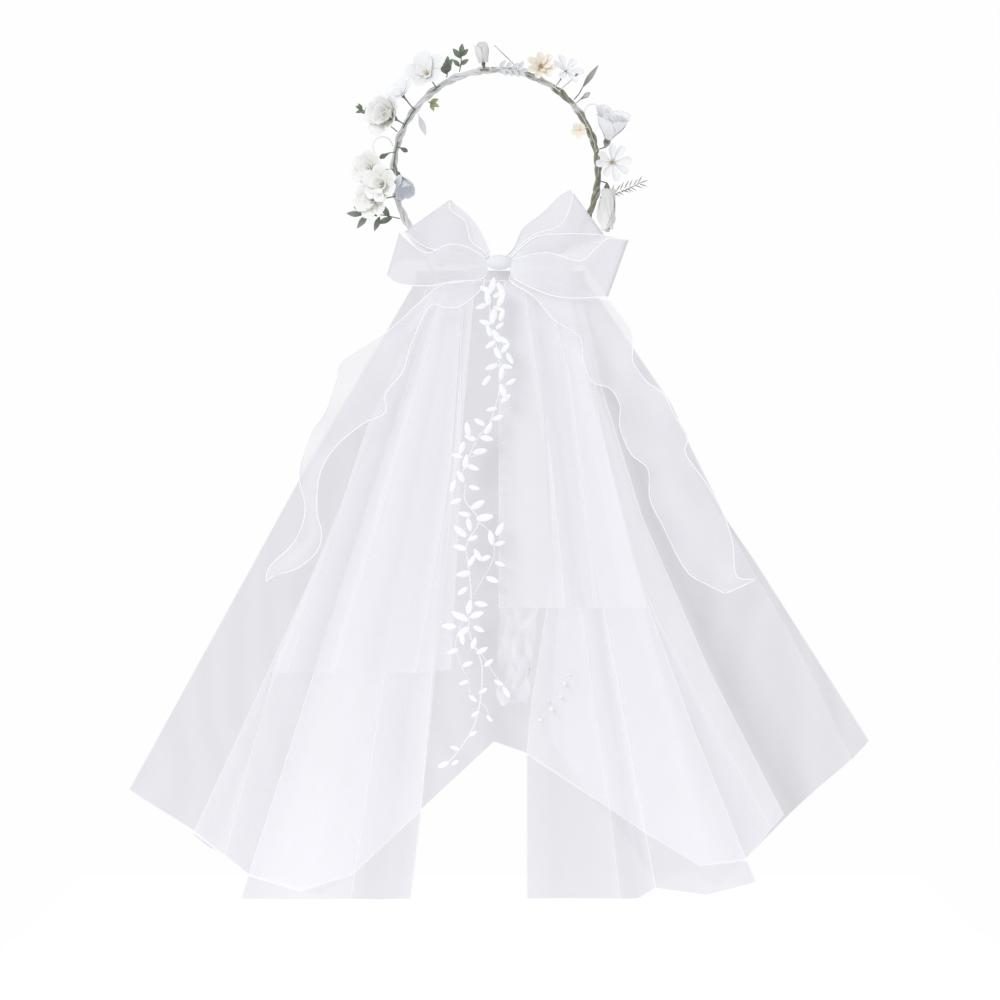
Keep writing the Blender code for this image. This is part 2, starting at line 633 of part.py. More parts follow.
long_hem = reach(VEIL_LENGTH)
short_left_hem = reach(SHORT_LEFT_LENGTH)
short_right_hem = reach(SHORT_RIGHT_LENGTH)
veil_layer("veil_back", HEADER_LEFT, HEADER_RIGHT, (
    (-332, long_hem + 97), (-274, long_hem + 59), (-224, long_hem + 21), (-160, long_hem + 2),
    (-130, long_hem + 21), (-67, long_hem + 79), (-2, long_hem + 141), (28, long_hem + 130),
    (103, long_hem + 80), (150, long_hem + 35), (205, long_hem + 20), (256, long_hem + 55),
    (263, long_hem + 72), (338, long_hem + 141)), BACK_DEPTH, 25 * MM, 5 * MM)
veil_layer("veil_middle_left", -60 * MM, -20 * MM, (
    (-274, long_hem + 59), (-224, long_hem + 21), (-190, long_hem + 8), (-159, long_hem + 4),
    (-130, long_hem + 21), (-68, long_hem + 79)), MIDDLE_DEPTH, 13 * MM, 4 * MM)
veil_layer("veil_middle_right", 20 * MM, 76 * MM, (
    (49, long_hem + 144), (104, long_hem + 80), (129, long_hem + 63), (160, long_hem + 20),
    (199, long_hem + 5), (230, long_hem + 28), (263, long_hem + 72)), MIDDLE_DEPTH, 13 * MM, 4 * MM)
veil_layer("veil_front_left", -50 * MM, -19 * MM, (
    (-230, long_hem), (-195, long_hem), (-165, long_hem), (-131, long_hem), (-105, long_hem), (-77, long_hem)),
    FRONT_DEPTH, 2 * MM, 5 * MM)
veil_layer("veil_front_right", 31 * MM, 64 * MM, (
    (28, long_hem), (62, long_hem), (95, long_hem), (130, long_hem), (160, long_hem), (195, long_hem),
    (230, long_hem + 10)), FRONT_DEPTH, 2 * MM, 5 * MM)
veil_layer("veil_short_left", -56 * MM, -16 * MM, (
    (-202, short_left_hem), (-160, short_left_hem), (-115, short_left_hem), (-70, short_left_hem),
    (-40, short_left_hem)), SHORT_DEPTH, -8 * MM, 2.5 * MM)
veil_layer("veil_short_right", 8 * MM, 60 * MM, (
    (4, short_right_hem), (45, short_right_hem), (85, short_right_hem), (110, short_right_hem),
    (136, short_right_hem)), SHORT_DEPTH, -8 * MM, 2.5 * MM)


# ---------------------------------------------------------------- embroidered vine

VINE_FORWARD_POINTS = 4
VINE_ROUTE = (
    (-2, -17.8), (-4, -31.8), (-5, -45.8), (-5, -59.8), (0, -72.8), (3, -86.8), (4, -104.8),
    (2, -120.8), (-6, -145.8), (-15, -155.8), (-24, -174.8), (-30, -189.8), (-27, -199.8), (-28, -211.8),
    (-22, -220.8), (-15, -232.8), (-26, -252.8), (-24, -274.8), (-22, -295.8), (-23, -311.8), (-24, -327.8),
    (-20, -341.8), (-14, -353.8), (-12, -367.8), (-14, -392.8), (-20, -415.8), (-34, -437.8), (-48, -452.8))


def smooth_route(points, count):
    """Evenly numbered points on one smooth curve through the route's own points."""
    ends = [2 * points[0] - points[1]] + points + [2 * points[-1] - points[-2]]
    spans = len(points) - 1
    route = []
    for i in range(count + 1):
        at = spans * i / count
        k = min(int(at), spans - 1)
        t = at - k
        a, b, c, d = ends[k:k + 4]
        route.append(0.5 * (2 * b + (c - a) * t + (2 * a - 5 * b + 4 * c - d) * t * t
                            + (3 * b - a - 3 * c + d) * t ** 3))
    return route


vine_curve = bpy.data.curves.new("vine_stem", "CURVE")
vine_curve.dimensions = "3D"
vine_curve.bevel_depth = VINE_RADIUS
vine_curve.bevel_resolution = 2
vine_curve.use_fill_caps = True
vine_line = vine_curve.splines.new("POLY")
vine_route = []
for i, (x, z) in enumerate(VINE_ROUTE):
    vine_y = VINE_TOP_DEPTH + (VINE_DEPTH - VINE_TOP_DEPTH) * min(1, i / VINE_FORWARD_POINTS)
    vine_route.append(Vector((x * MM, vine_y, TIE_Z + z * MM)))
vine_points = smooth_route(vine_route, 78)
vine_line.points.add(len(vine_points) - 1)
for spline_point, place in zip(vine_line.points, vine_points):
    spline_point.co = (*place, 1)
vine_curve.materials.append(LACE)
bpy.context.scene.collection.objects.link(bpy.data.objects.new("vine_stem", vine_curve))


def vine_leaves(name, at, direction, leaves):
    """A flat embroidered leaf group that lies just in front of the vine's stem."""
    made = leaf_sprig(name, 16 * MM, leaves, 11 * MM, 5 * MM, LACE, angle=50, stem=0.6 * MM)
    place = Vector((at[0] * MM, VINE_DEPTH - VINE_RADIUS - GAP - 0.9 * MM, TIE_Z + at[1] * MM))
    return lay(made, place, Vector(direction))


vine_leaves("vine_leaves_upper", (-1, -72.8), (0.1, 0, -1), 2)
vine_leaves("vine_leaves_lower", (-22, -232.8), (-0.1, 0, -1), 2)
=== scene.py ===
# %% [markdown]
# # A silk flower crown with a bow and a veil
#
# The crown is a wire hoop wrapped in thread and floral tape, with silk flowers wired on in bunches. A
# rolled ribbon through two eyelets closes it at the back, and an organza bow, two ribbon tails, a pleated
# tulle veil and an embroidered vine hang from that ribbon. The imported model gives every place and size.
# This script gives each piece its real cloth, petals, threads and finishes.

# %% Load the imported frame
import math
import random

import bmesh
import bpy
from mathutils import Matrix, Vector, noise


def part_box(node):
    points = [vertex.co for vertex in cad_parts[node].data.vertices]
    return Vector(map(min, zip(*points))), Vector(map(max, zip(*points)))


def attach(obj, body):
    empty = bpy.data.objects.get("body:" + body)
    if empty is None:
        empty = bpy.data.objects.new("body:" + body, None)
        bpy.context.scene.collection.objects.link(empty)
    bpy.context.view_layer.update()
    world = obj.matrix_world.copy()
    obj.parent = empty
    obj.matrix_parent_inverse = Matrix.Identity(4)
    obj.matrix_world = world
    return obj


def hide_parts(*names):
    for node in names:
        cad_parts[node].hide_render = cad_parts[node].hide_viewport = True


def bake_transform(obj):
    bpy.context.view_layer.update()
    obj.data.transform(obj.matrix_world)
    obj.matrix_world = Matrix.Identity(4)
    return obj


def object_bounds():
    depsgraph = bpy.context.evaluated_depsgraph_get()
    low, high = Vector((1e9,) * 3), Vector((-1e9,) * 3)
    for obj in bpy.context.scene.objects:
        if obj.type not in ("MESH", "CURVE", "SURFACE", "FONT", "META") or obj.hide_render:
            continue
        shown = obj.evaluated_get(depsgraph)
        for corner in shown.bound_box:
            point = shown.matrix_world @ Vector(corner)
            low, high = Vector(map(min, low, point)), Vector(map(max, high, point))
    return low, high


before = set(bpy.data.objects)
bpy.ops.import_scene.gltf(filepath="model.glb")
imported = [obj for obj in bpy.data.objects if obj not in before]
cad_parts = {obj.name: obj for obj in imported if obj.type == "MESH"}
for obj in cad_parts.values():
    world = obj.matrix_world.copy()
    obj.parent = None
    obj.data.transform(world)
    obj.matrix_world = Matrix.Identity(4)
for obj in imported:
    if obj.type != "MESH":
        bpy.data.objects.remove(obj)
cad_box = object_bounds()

MM = 0.001
scene = bpy.context.scene
print("CAD nodes:", len(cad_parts))

# %% [markdown]
# ## Camera, light and floor
#
# The crown hangs flat, facing us, so a long lens straight on shows it without bending its lines. The world
# is plain white to the camera, and a softer white to everything else. One large lamp from the upper left
# gives the petals and pleats their shade. Thin cloth in many layers needs many see-through bounces, or it
# turns black.

# %% Camera, world, key lamp and floor
FRONT_VIEW_WIDTH = 0.9
CAMERA_DISTANCE = 2.5
camera_data = bpy.data.cameras.new("camera")
camera_data.sensor_width = 36
camera_data.lens = 36 * CAMERA_DISTANCE / FRONT_VIEW_WIDTH
camera = bpy.data.objects.new("camera", camera_data)
camera.location = (0.0036, -CAMERA_DISTANCE, -0.2952)
camera.rotation_euler = (math.pi / 2, 0, 0)
scene.collection.objects.link(camera)
scene.camera = camera
scene.view_settings.view_transform = "Standard"
scene.cycles.transparent_max_bounces = 48

world = bpy.data.worlds.new("studio")
world.use_nodes = True
scene.world = world
sky = world.node_tree
sky.nodes.clear()
seen = sky.nodes.new("ShaderNodeBackground")
seen.inputs["Color"].default_value = (1, 1, 1, 1)
seen.inputs["Strength"].default_value = 0.99
lit = sky.nodes.new("ShaderNodeBackground")
lit.inputs["Color"].default_value = (0.97, 0.98, 1.0, 1)
lit.inputs["Strength"].default_value = 0.76
ray = sky.nodes.new("ShaderNodeLightPath")
choose = sky.nodes.new("ShaderNodeMixShader")
sky.links.new(ray.outputs["Is Camera Ray"], choose.inputs[0])
sky.links.new(lit.outputs[0], choose.inputs[1])
sky.links.new(seen.outputs[0], choose.inputs[2])
sky.links.new(choose.outputs[0], sky.nodes.new("ShaderNodeOutputWorld").inputs["Surface"])

lamp_data = bpy.data.lights.new("key", "AREA")
lamp_data.size = 2.2
lamp_data.energy = 84
lamp = bpy.data.objects.new("key", lamp_data)
lamp.location = (-2.4, -4.4, 2.3)
lamp.rotation_euler = (Vector((0, 0, -0.25)) - lamp.location).to_track_quat("-Z", "Y").to_euler()
scene.collection.objects.link(lamp)

FLOOR_BELOW_HEM = 0.045
bpy.ops.object.select_all(action="DESELECT")
bpy.ops.mesh.primitive_plane_add(size=0.9, location=(0.0036, 0.05, cad_box[0][2] - FLOOR_BELOW_HEM))
floor = bpy.context.object
floor.name = "studio_floor"
print("floor at", round(floor.location.z, 3))

# %% [markdown]
# ## Small helpers for nodes and finishes
#
# Each finish is a node material. A few lines that make a node, set its sockets and link it keep the
# materials short. Patterns that several finishes share are node groups, built once: woven threads, soft
# mottling, and the watered figure that two layers of net make together.

# %% Node helpers
def join(tree, source, target):
    tree.links.new(source, target)


def node(tree, kind, *inputs, **sockets):
    """A node; each input, by number or by name, is a value to set or another node's output to link."""
    made = tree.nodes.new("ShaderNode" + kind)
    for key, value in [*enumerate(inputs), *sockets.items()]:
        socket = made.inputs[key if isinstance(key, int) else key.replace("_", " ")]
        if isinstance(value, bpy.types.NodeSocket):
            join(tree, value, socket)
        else:
            socket.default_value = value
    return made


def fit_range(tree, value, low, high):
    """Maps a value from 0 to 1 onto another range."""
    return node(tree, "MapRange", value, To_Min=low, To_Max=high).outputs["Result"]


def share_of(tree, value, low, high):
    """Maps a value between low and high onto 0 to 1."""
    return node(tree, "MapRange", value, From_Min=low, From_Max=high).outputs["Result"]


def arithmetic(tree, operation, first, second):
    made = node(tree, "Math", first, second)
    made.operation = operation
    return made.outputs[0]


def mix(tree, factor, first, second, colour=False, blend="MIX"):
    """Blends two values, or two colours."""
    made = node(tree, "Mix", factor)
    made.data_type = "RGBA" if colour else "FLOAT"
    made.blend_type = blend
    start = 6 if colour else 2
    join(tree, first, made.inputs[start])
    join(tree, second, made.inputs[start + 1])
    return made.outputs[2 if colour else 0]


def group(name, output, **numbers):
    """An empty node group with a Vector, some numbers and one output."""
    made = bpy.data.node_groups.new(name, "ShaderNodeTree")
    made.interface.new_socket("Vector", in_out="INPUT", socket_type="NodeSocketVector")
    for number, value in numbers.items():
        made.interface.new_socket(number, in_out="INPUT", socket_type="NodeSocketFloat").default_value = value
    made.interface.new_socket(output, in_out="OUTPUT", socket_type="NodeSocketFloat")
    return made, made.nodes.new("NodeGroupInput").outputs, made.nodes.new("NodeGroupOutput").inputs[0]

# %% Shared patterns: woven threads, mottle and watered figure
def bands(tree, vector, scale, direction, bend=0.0):
    made = node(tree, "TexWave", Vector=vector, Scale=scale, Distortion=bend)
    made.bands_direction = direction
    return made.outputs["Fac"]


weave, given, put = group("woven_threads", "Height", Scale=300.0)
across = bands(weave, given["Vector"], given["Scale"], "X", 0.4)
along = bands(weave, given["Vector"], given["Scale"], "Z", 0.4)
join(weave, arithmetic(weave, "MAXIMUM", across, along), put)

mottle, given, put = group("soft_mottle", "Value", Scale=30.0)
cloud = node(mottle, "TexNoise", Vector=given["Vector"], Scale=given["Scale"], Detail=3.0, Roughness=0.55)
join(mottle, cloud.outputs["Fac"], put)

moire, given, put = group("watered_figure", "Figure", Scale=6.0)
figure = node(moire, "TexWave", Vector=given["Vector"], Scale=given["Scale"], Distortion=14.0, Detail=2.0,
              Detail_Scale=0.6)
join(moire, figure.outputs["Fac"], put)


def srgb(r, g, b):
    """A colour given as 0-255 screen values, as the linear colour that a shader needs."""
    channels = []
    for value in (r, g, b):
        share = value / 255
        channels.append(share / 12.92 if share <= 0.04045 else ((share + 0.055) / 1.055) ** 2.4)
    return (*channels, 1.0)


def place_group(tree, source, **values):
    made = tree.nodes.new("ShaderNodeGroup")
    made.node_tree = source
    join(tree, tree.nodes["place"].outputs["Object"], made.inputs["Vector"])
    for socket, value in values.items():
        made.inputs[socket].default_value = value
    return made.outputs[0]


def blank(name, roughness, **sockets):
    """A material with a Principled shader and its Object coordinates ready."""
    made = bpy.data.materials.new(name)
    made.use_nodes = True
    tree = made.node_tree
    tree.nodes.new("ShaderNodeTexCoord").name = "place"
    shader = tree.nodes["Principled BSDF"]
    for socket, value in {"Roughness": roughness, **sockets}.items():
        shader.inputs[socket.replace("_", " ")].default_value = value
    return made, tree, shader


def two_tone(tree, factor, dark, light, middle=None, middle_at=0.5):
    """A colour that runs from dark to light, through a middle one if it is given."""
    ramp = node(tree, "ValToRGB", factor)
    colours = ramp.color_ramp.elements
    colours[0].color = srgb(*dark)
    colours[1].color = srgb(*light)
    if middle:
        colours.new(middle_at).color = srgb(*middle)
    return ramp.outputs["Color"]


def shaded(tree, shader, colour, first, second):
    """Gives the shader a colour multiplied by the sum of two soft patterns."""
    both = arithmetic(tree, "ADD", first, second)
    join(tree, mix(tree, 1.0, colour, both, True, "MULTIPLY"), shader.inputs["Base Color"])


def raise_up(tree, shader, height, distance, strength=0.5):
    bump = node(tree, "Bump", Strength=strength, Distance=distance, Height=height)
    join(tree, bump.outputs["Normal"], shader.inputs["Normal"])


print("node groups:", [g.name for g in bpy.data.node_groups])

# %% [markdown]
# ## Sheer cloth
#
# Tulle and organza are mostly holes, so each layer lets most of the light through and adds a little white.
# The more layers lie on each other, the whiter the cloth looks, and a folded edge is whitest of all. Each
# sheet carries an attribute for fullness and shade, from 0 for a single flat layer to 1 for a crest or a
# hem, and the material's colour and its alpha follow it. Below 0 it marks the hollow of a fold, and the
# darker colour there is painted shade. The back net's grey, dense single layer is painted shade too, and so
# is the greyer, denser tone where an upper layer hangs alone below the back hem. The thin threads let light
# through to the layers behind, so their shadows are faint.

# %% Sheer materials
SHADOW_SHARE = 0.12
# HOLLOW is the fullness of a fold's hollow; there the tone is darker by the next number: painted shade.
HOLLOW = -0.5
HOLLOW_PAINTED_SHADE = 16
FLAT_SHARE = 1 / 3
LONE_CREST_COVER = 0.92


def sheer(name, single, full, thin, thick, weave_scale, figure_share=0.0, lone_shade=None):
    """A see-through cloth: colour and alpha for one layer and a crest, with painted shade in hollows and, when
    asked, below the back hem.
    """
    made, tree, shader = blank(name, 0.75, Sheen_Weight=0.1)
    fullness_and_shade = node(tree, "Attribute")
    fullness_and_shade.attribute_name = "fullness_and_shade"
    amount = fullness_and_shade.outputs["Fac"]
    hollow_shade = [value - HOLLOW_PAINTED_SHADE for value in single]
    tone = two_tone(tree, share_of(tree, amount, HOLLOW, 1.0), hollow_shade, full, single, FLAT_SHARE)
    cover = fit_range(tree, amount, thin, thick)
    if lone_shade:
        alone_shade = place_group(tree, shade_below_hem)
        tone = mix(tree, alone_shade, tone, two_tone(tree, amount, lone_shade[0], full), True)
        cover = mix(tree, alone_shade, cover, fit_range(tree, amount, lone_shade[1], LONE_CREST_COVER))
    cloudy = fit_range(tree, place_group(tree, mottle, Scale=9.0), 0.985, 1.012)
    figure = fit_range(tree, place_group(tree, moire, Scale=7.0), -figure_share, figure_share)
    shaded(tree, shader, tone, cloudy, figure)
    threads = place_group(tree, weave, Scale=weave_scale)
    woven = arithmetic(tree, "MULTIPLY", cover, fit_range(tree, threads, 0.94, 1.05))
    faint = arithmetic(tree, "MULTIPLY", woven, SHADOW_SHARE)
    light = node(tree, "LightPath").outputs
    either = arithmetic(tree, "MAXIMUM", light["Is Shadow Ray"], light["Is Diffuse Ray"])
    join(tree, mix(tree, either, woven, faint), shader.inputs["Alpha"])
    raise_up(tree, shader, threads, 0.00008, 0.25)
    return made

# %% Where the upper layers hang below the back layer
# Below this hem line an upper layer takes a greyer, denser tone: painted shade.
HEM_SPAN = 0.36
HEM_LOW = -0.70
HEM_HIGH = -0.45
BACK_HEM = (
    (-360, -550), (-332, -558), (-274, -596), (-224, -634), (-176, -649), (-130, -634), (-68, -576),
    (-2, -514), (28, -525), (104, -575), (129, -592), (184, -626), (227, -621), (263, -583), (322, -530),
    (338, -514))
shade_below_hem, given, put = group("painted_shade_below_back_hem", "Mask")
split = node(shade_below_hem, "SeparateXYZ", given["Vector"]).outputs
hem_curve = node(shade_below_hem, "FloatCurve", Value=share_of(shade_below_hem, split["X"], -HEM_SPAN, HEM_SPAN))
line = hem_curve.mapping.curves[0]
hem_places = []
for x, z in BACK_HEM:
    hem_places.append(((x * MM + HEM_SPAN) / (2 * HEM_SPAN), (z * MM - HEM_LOW) / (HEM_HIGH - HEM_LOW)))
line.points[0].location = hem_places[0]
line.points[1].location = hem_places[-1]
for at in hem_places[1:-1]:
    line.points.new(*at)
for point in line.points:
    point.handle_type = "VECTOR"
hem_curve.mapping.update()
height = share_of(shade_below_hem, split["Z"], HEM_LOW, HEM_HIGH)
join(shade_below_hem, arithmetic(shade_below_hem, "LESS_THAN", height, hem_curve.outputs["Value"]), put)

# %% The sheer finishes
# The back net's grey single tone and dense cover, and the tone of an upper layer alone below the back hem, are
# painted shade.
BACK_TULLE_PAINTED_SHADE = sheer("tulle_back_painted_shade", (223, 222, 227), (245, 245, 248), 0.86, 0.95, 320.0, 0.016)
LONE_LAYER_SHADE = ((223, 222, 227), 0.82)
UPPER_TULLE = sheer("tulle_upper", (244, 243, 248), (253, 253, 255), 0.38, 0.85, 320.0, 0.0, LONE_LAYER_SHADE)
BOW_ORGANZA = sheer("organza_bow", (232, 231, 236), (246, 246, 249), 0.72, 0.92, 420.0, 0.01)
TAIL_ORGANZA = sheer("organza_tail", (237, 236, 241), (250, 250, 252), 0.5, 0.85, 420.0, 0.01)


# %% Thread, trim and floor finishes
def threaded(name, colour, shade, scale, roughness=0.85, strength=0.5, **sockets):
    """Twisted or embroidered thread: fine ridges, with painted shade in their slightly darker hollows."""
    made, tree, shader = blank(name, roughness, Sheen_Weight=0.15, **sockets)
    ridges = place_group(tree, weave, Scale=scale)
    join(tree, two_tone(tree, ridges, shade, colour), shader.inputs["Base Color"])
    raise_up(tree, shader, ridges, 0.0002, strength)
    return made


# The edge cords glow a little: painted light that makes the stitched edges read as bright lines.
EDGE_CORD_GLOW = threaded("edge_thread_painted_glow", (254, 254, 255), (252, 252, 254), 600.0, 0.9, 0.05,
                     Emission_Color=(0.95, 0.95, 1, 1), Emission_Strength=0.07)
LACE_THREAD = threaded("embroidery_thread", (253, 253, 255), (240, 240, 243), 500.0)
WRAP_THREAD = threaded("wrap_thread", (250, 250, 248), (232, 233, 230), 420.0, 0.9, 0.2)


def mottled(name, dark, light, scale, roughness, bump=0.0002, **sockets):
    """A finish that changes softly over the surface, with a shallow grain."""
    made, tree, shader = blank(name, roughness, **sockets)
    patches = place_group(tree, mottle, Scale=scale)
    join(tree, two_tone(tree, fit_range(tree, patches, -0.6, 1.6), dark, light), shader.inputs["Base Color"])
    raise_up(tree, shader, patches, bump)
    return made


WIRE = mottled("galvanised_wire", (206, 208, 210), (236, 238, 240), 300.0, 0.45, 0.00005, Metallic=1.0)
TAPE = mottled("floral_tape", (108, 110, 94), (232, 232, 226), 110.0, 0.75)
GREEN_TAPE = mottled("green_tape", (88, 98, 82), (126, 136, 116), 260.0, 0.7)
STAMEN_DUST = mottled("stamen_dust", (196, 178, 140), (228, 212, 184), 700.0, 0.9)
PEARL = mottled("pearl_bead", (246, 245, 246), (254, 253, 253), 200.0, 0.18, 0.00002)
FLOOR_PAPER = mottled("studio_paper", (250, 250, 250), (254, 254, 254), 4.0, 0.95, 0.00002,
                      Emission_Color=(1, 1, 1, 1), Emission_Strength=0.22)
floor.data.materials.append(FLOOR_PAPER)
print("materials:", len(bpy.data.materials))

# %% [markdown]
# ## Lines and tubes
#
# A cord, a stitched edge or a wire follows a smooth line through a few chosen points. A Catmull-Rom line
# passes through each of them, so a point can be moved to move the cord. A tube round that line is a mesh,
# so its place is in its own points.

# %% Smooth lines and tubes
def smooth(points, count):
    """So many evenly numbered points on the smooth curve through the given ones."""
    points = [Vector(p) for p in points]
    ends = [2 * points[0] - points[1]] + points + [2 * points[-1] - points[-2]]
    spans = len(points) - 1
    route = []
    for i in range(count + 1):
        at = spans * i / count
        k = min(int(at), spans - 1)
        t = at - k
        a, b, c, d = ends[k:k + 4]
        route.append(0.5 * (2 * b + (c - a) * t + (2 * a - 5 * b + 4 * c - d) * t * t
                            + (3 * b - a - 3 * c + d) * t ** 3))
    return route


def even(points, count):
    """The same line with its points at even distances."""
    fine = smooth(points, 12 * (len(points) - 1))
    lengths = [0.0]
    for a, b in zip(fine, fine[1:]):
        lengths.append(lengths[-1] + (b - a).length)
    result = []
    k = 0
    for i in range(count + 1):
        want = lengths[-1] * i / count
        while k < len(fine) - 2 and lengths[k + 1] < want:
            k += 1
        share = (want - lengths[k]) / max(lengths[k + 1] - lengths[k], 1e-9)
        result.append(fine[k].lerp(fine[k + 1], min(1, share)))
    return result


def length_of(points):
    return sum((b - a).length for a, b in zip(points, points[1:]))


def add_tube(body, points, radius, sides=6, flat=1.0):
    """Adds a capped tube to a bmesh; flat below 1 presses it thinner from front to back."""
    radii = radius if isinstance(radius, list) else [radius] * len(points)
    side = Vector((0, 1, 0))
    rings = []
    last = len(points) - 1
    for i, point in enumerate(points):
        way = (points[min(i + 1, last)] - points[max(i - 1, 0)]).normalized()
        if abs(way.dot(side)) > 0.95:
            side = Vector((1, 0, 0)) if abs(way.x) < 0.9 else Vector((0, 0, 1))
        across = (side - way * side.dot(way)).normalized()
        side = across
        other = way.cross(across)
        ring = []
        for k in range(sides):
            turn = 2 * math.pi * k / sides
            offset = (across * math.cos(turn) + other * math.sin(turn)) * radii[i]
            ring.append(body.verts.new(point + Vector((offset.x, offset.y * flat, offset.z))))
        rings.append(ring)
    for lower, upper in zip(rings, rings[1:]):
        for k in range(sides):
            n = (k + 1) % sides
            body.faces.new((lower[k], lower[n], upper[n], upper[k]))
    body.faces.new(rings[0][::-1])
    body.faces.new(rings[-1])


def piece(name, body, look, riding=None, turn_out=True):
    """Turns a bmesh into a smooth named piece that rides on a body; a closed one has its faces turned out."""
    if turn_out:
        bmesh.ops.recalc_face_normals(body, faces=body.faces)
    mesh = bpy.data.meshes.new(name)
    body.to_mesh(mesh)
    body.free()
    mesh.shade_smooth()
    mesh.materials.append(look)
    made = bpy.data.objects.new(name, mesh)
    scene.collection.objects.link(made)
    if riding:
        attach(made, riding)
    return made


def tubes(name, lines, radius, look, riding=None, sides=6, flat=1.0):
    body = bmesh.new()
    for line in lines:
        add_tube(body, line, radius, sides, flat)
    return piece(name, body, look, riding)


# %% [markdown]
# ## The embroidered vine
#
# A strand of white stitched leaves hangs down the middle from behind the knot, forks into a loop, joins
# again and ends in a loose tip. Its main stem is a limp cord that hangs free below the knot, and the
# imported model has the same stem.

# %% Main stem of the vine
VINE_TOP_DEPTH = -14 * MM
VINE_DEPTH = -18 * MM
VINE_RADIUS = 0.9 * MM
VINE_STEM = (
    (-2, -100), (-4, -114), (-5, -128), (-5, -142), (0, -155), (3, -169), (4, -187), (2, -203), (-6, -228),
    (-15, -238), (-24, -257), (-30, -272), (-27, -282), (-28, -294), (-22, -303), (-15, -315), (-26, -335),
    (-24, -357), (-22, -378), (-23, -394), (-24, -410), (-20, -424), (-14, -436), (-12, -450), (-14, -475),
    (-20, -498), (-34, -520), (-48, -535))
vine_points = []
for i, (x, z) in enumerate(VINE_STEM):
    y = VINE_TOP_DEPTH + (VINE_DEPTH - VINE_TOP_DEPTH) * min(1, i / 4)
    vine_points.append(Vector((x * MM, y, z * MM)))
VINE_STEPS = 108
vine_line = smooth(vine_points, VINE_STEPS)
vine = tubes("vine_main_stem", [vine_line], VINE_RADIUS, LACE_THREAD, "vine", 8)
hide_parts("vine_stem")
print("vine stem is", round(length_of(vine_line), 3), "m long")

# %% Side strands of the vine
VINE_STRANDS = (
    ((-2, -96), (-6, -104), (-9, -113), (-5, -124)),
    ((-5, -142), (4, -150), (8, -160), (12, -168)),
    ((3, -169), (-4, -179), (-8, -188)),
    ((2, -203), (8, -194), (13, -190)),
    ((-24, -257), (-14, -254), (-8, -250)),
    ((-15, -315), (-5, -324), (-2, -334), (-2, -347), (-12, -366), (-20, -380)),
    ((-23, -394), (-31, -407), (-36, -425), (-31, -443), (-25, -455), (-23, -470)),
    ((-20, -424), (-12, -434), (-2, -450), (9, -463)),
    ((-14, -475), (-8, -482), (-6, -492)),
    ((-30, -272), (-36, -280), (-37, -290)))
strand_lines = []
for strand in VINE_STRANDS:
    strand_lines.append(even([(x * MM, VINE_DEPTH - 0.6 * MM, z * MM) for x, z in strand], 6 * len(strand)))
side_strands = tubes("vine_side_strands", strand_lines, 0.6 * MM, LACE_THREAD, "vine")
print("side strands:", len(strand_lines))


# %% [markdown]
# ## A petal or a leaf from one flat blank
#
# Silk petals and leaves are die-cut flat, then pressed over a warm ball so that they cup. Here each is a
# small grid whose rows are drawn in to an outline and raised into a cup in edit mode, as by hand. Solidify
# gives it the cloth's thickness, and one level of subdivision rounds it. One blank serves for all the
# petals of a kind.

# %% Shape one blank in edit mode
def object_mode():
    bpy.ops.object.mode_set(mode="OBJECT")


def clear():
    if bpy.context.object and bpy.context.object.mode != "OBJECT":
        object_mode()
    bpy.ops.object.select_all(action="DESELECT")


def pick(made, test):
    """Selects the points that pass a test, and opens edit mode."""
    object_mode()
    for part in (made.data.polygons, made.data.edges):
        part.foreach_set("select", [False] * len(part))
    for point in made.data.vertices:
        point.select = test(point)
    bpy.ops.object.mode_set(mode="EDIT")


def stretch(x, y, z, centre=(0, 0, 0)):
    bpy.ops.transform.resize(value=(x, y, z), center_override=centre)


def shift(x, y, z):
    bpy.ops.transform.translate(value=(x, y, z))


def apply_modifier(made, kind, **values):
    made.modifiers.new(kind.lower(), kind)
    modifier = made.modifiers[-1]
    for key, value in values.items():
        setattr(modifier, key, value)
    bpy.context.view_layer.objects.active = made
    bpy.ops.object.modifier_apply(modifier=modifier.name)


def dress(made, look):
    bpy.ops.object.shade_smooth()
    made.data.materials.append(look)


def blade(name, long, wide, outline, cup, curl, look, thickness=0.4 * MM, across=4, rows=6):
    """One petal or leaf along +Y; outline gives its width, from foot to tip, as shares of wide."""
    clear()
    bpy.ops.mesh.primitive_grid_add(x_subdivisions=across, y_subdivisions=rows, size=1, location=(0, 0.5, 0))
    made = bpy.context.object
    made.name = name
    bpy.ops.object.transform_apply(location=True)
    for j in range(rows + 1):
        share = j / rows
        pick(made, lambda point: abs(point.co.y - share) < 0.01)
        at = share * (len(outline) - 1)
        k = min(int(at), len(outline) - 2)
        width = outline[k] + (outline[k + 1] - outline[k]) * (at - k)
        stretch(wide * width, 1, 1, (0, share, 0))
        shift(0, 0, curl * share ** 2)
    for i in range(across + 1):
        side = abs(2 * i / across - 1)
        pick(made, lambda point: point.index % (across + 1) == i and 0.05 < point.co.y < 0.97)
        shift(0, 0, cup * side ** 2)
    pick(made, lambda point: True)
    stretch(1, long, 1)
    object_mode()
    apply_modifier(made, "SOLIDIFY", thickness=thickness, offset=0)
    apply_modifier(made, "SUBSURF", levels=1, render_levels=1)
    dress(made, look)
    return made


def copy_of(made):
    twin = made.copy()
    twin.data = made.data.copy()
    scene.collection.objects.link(twin)
    return twin


def discard(blanks):
    for used in blanks:
        bpy.data.objects.remove(used)


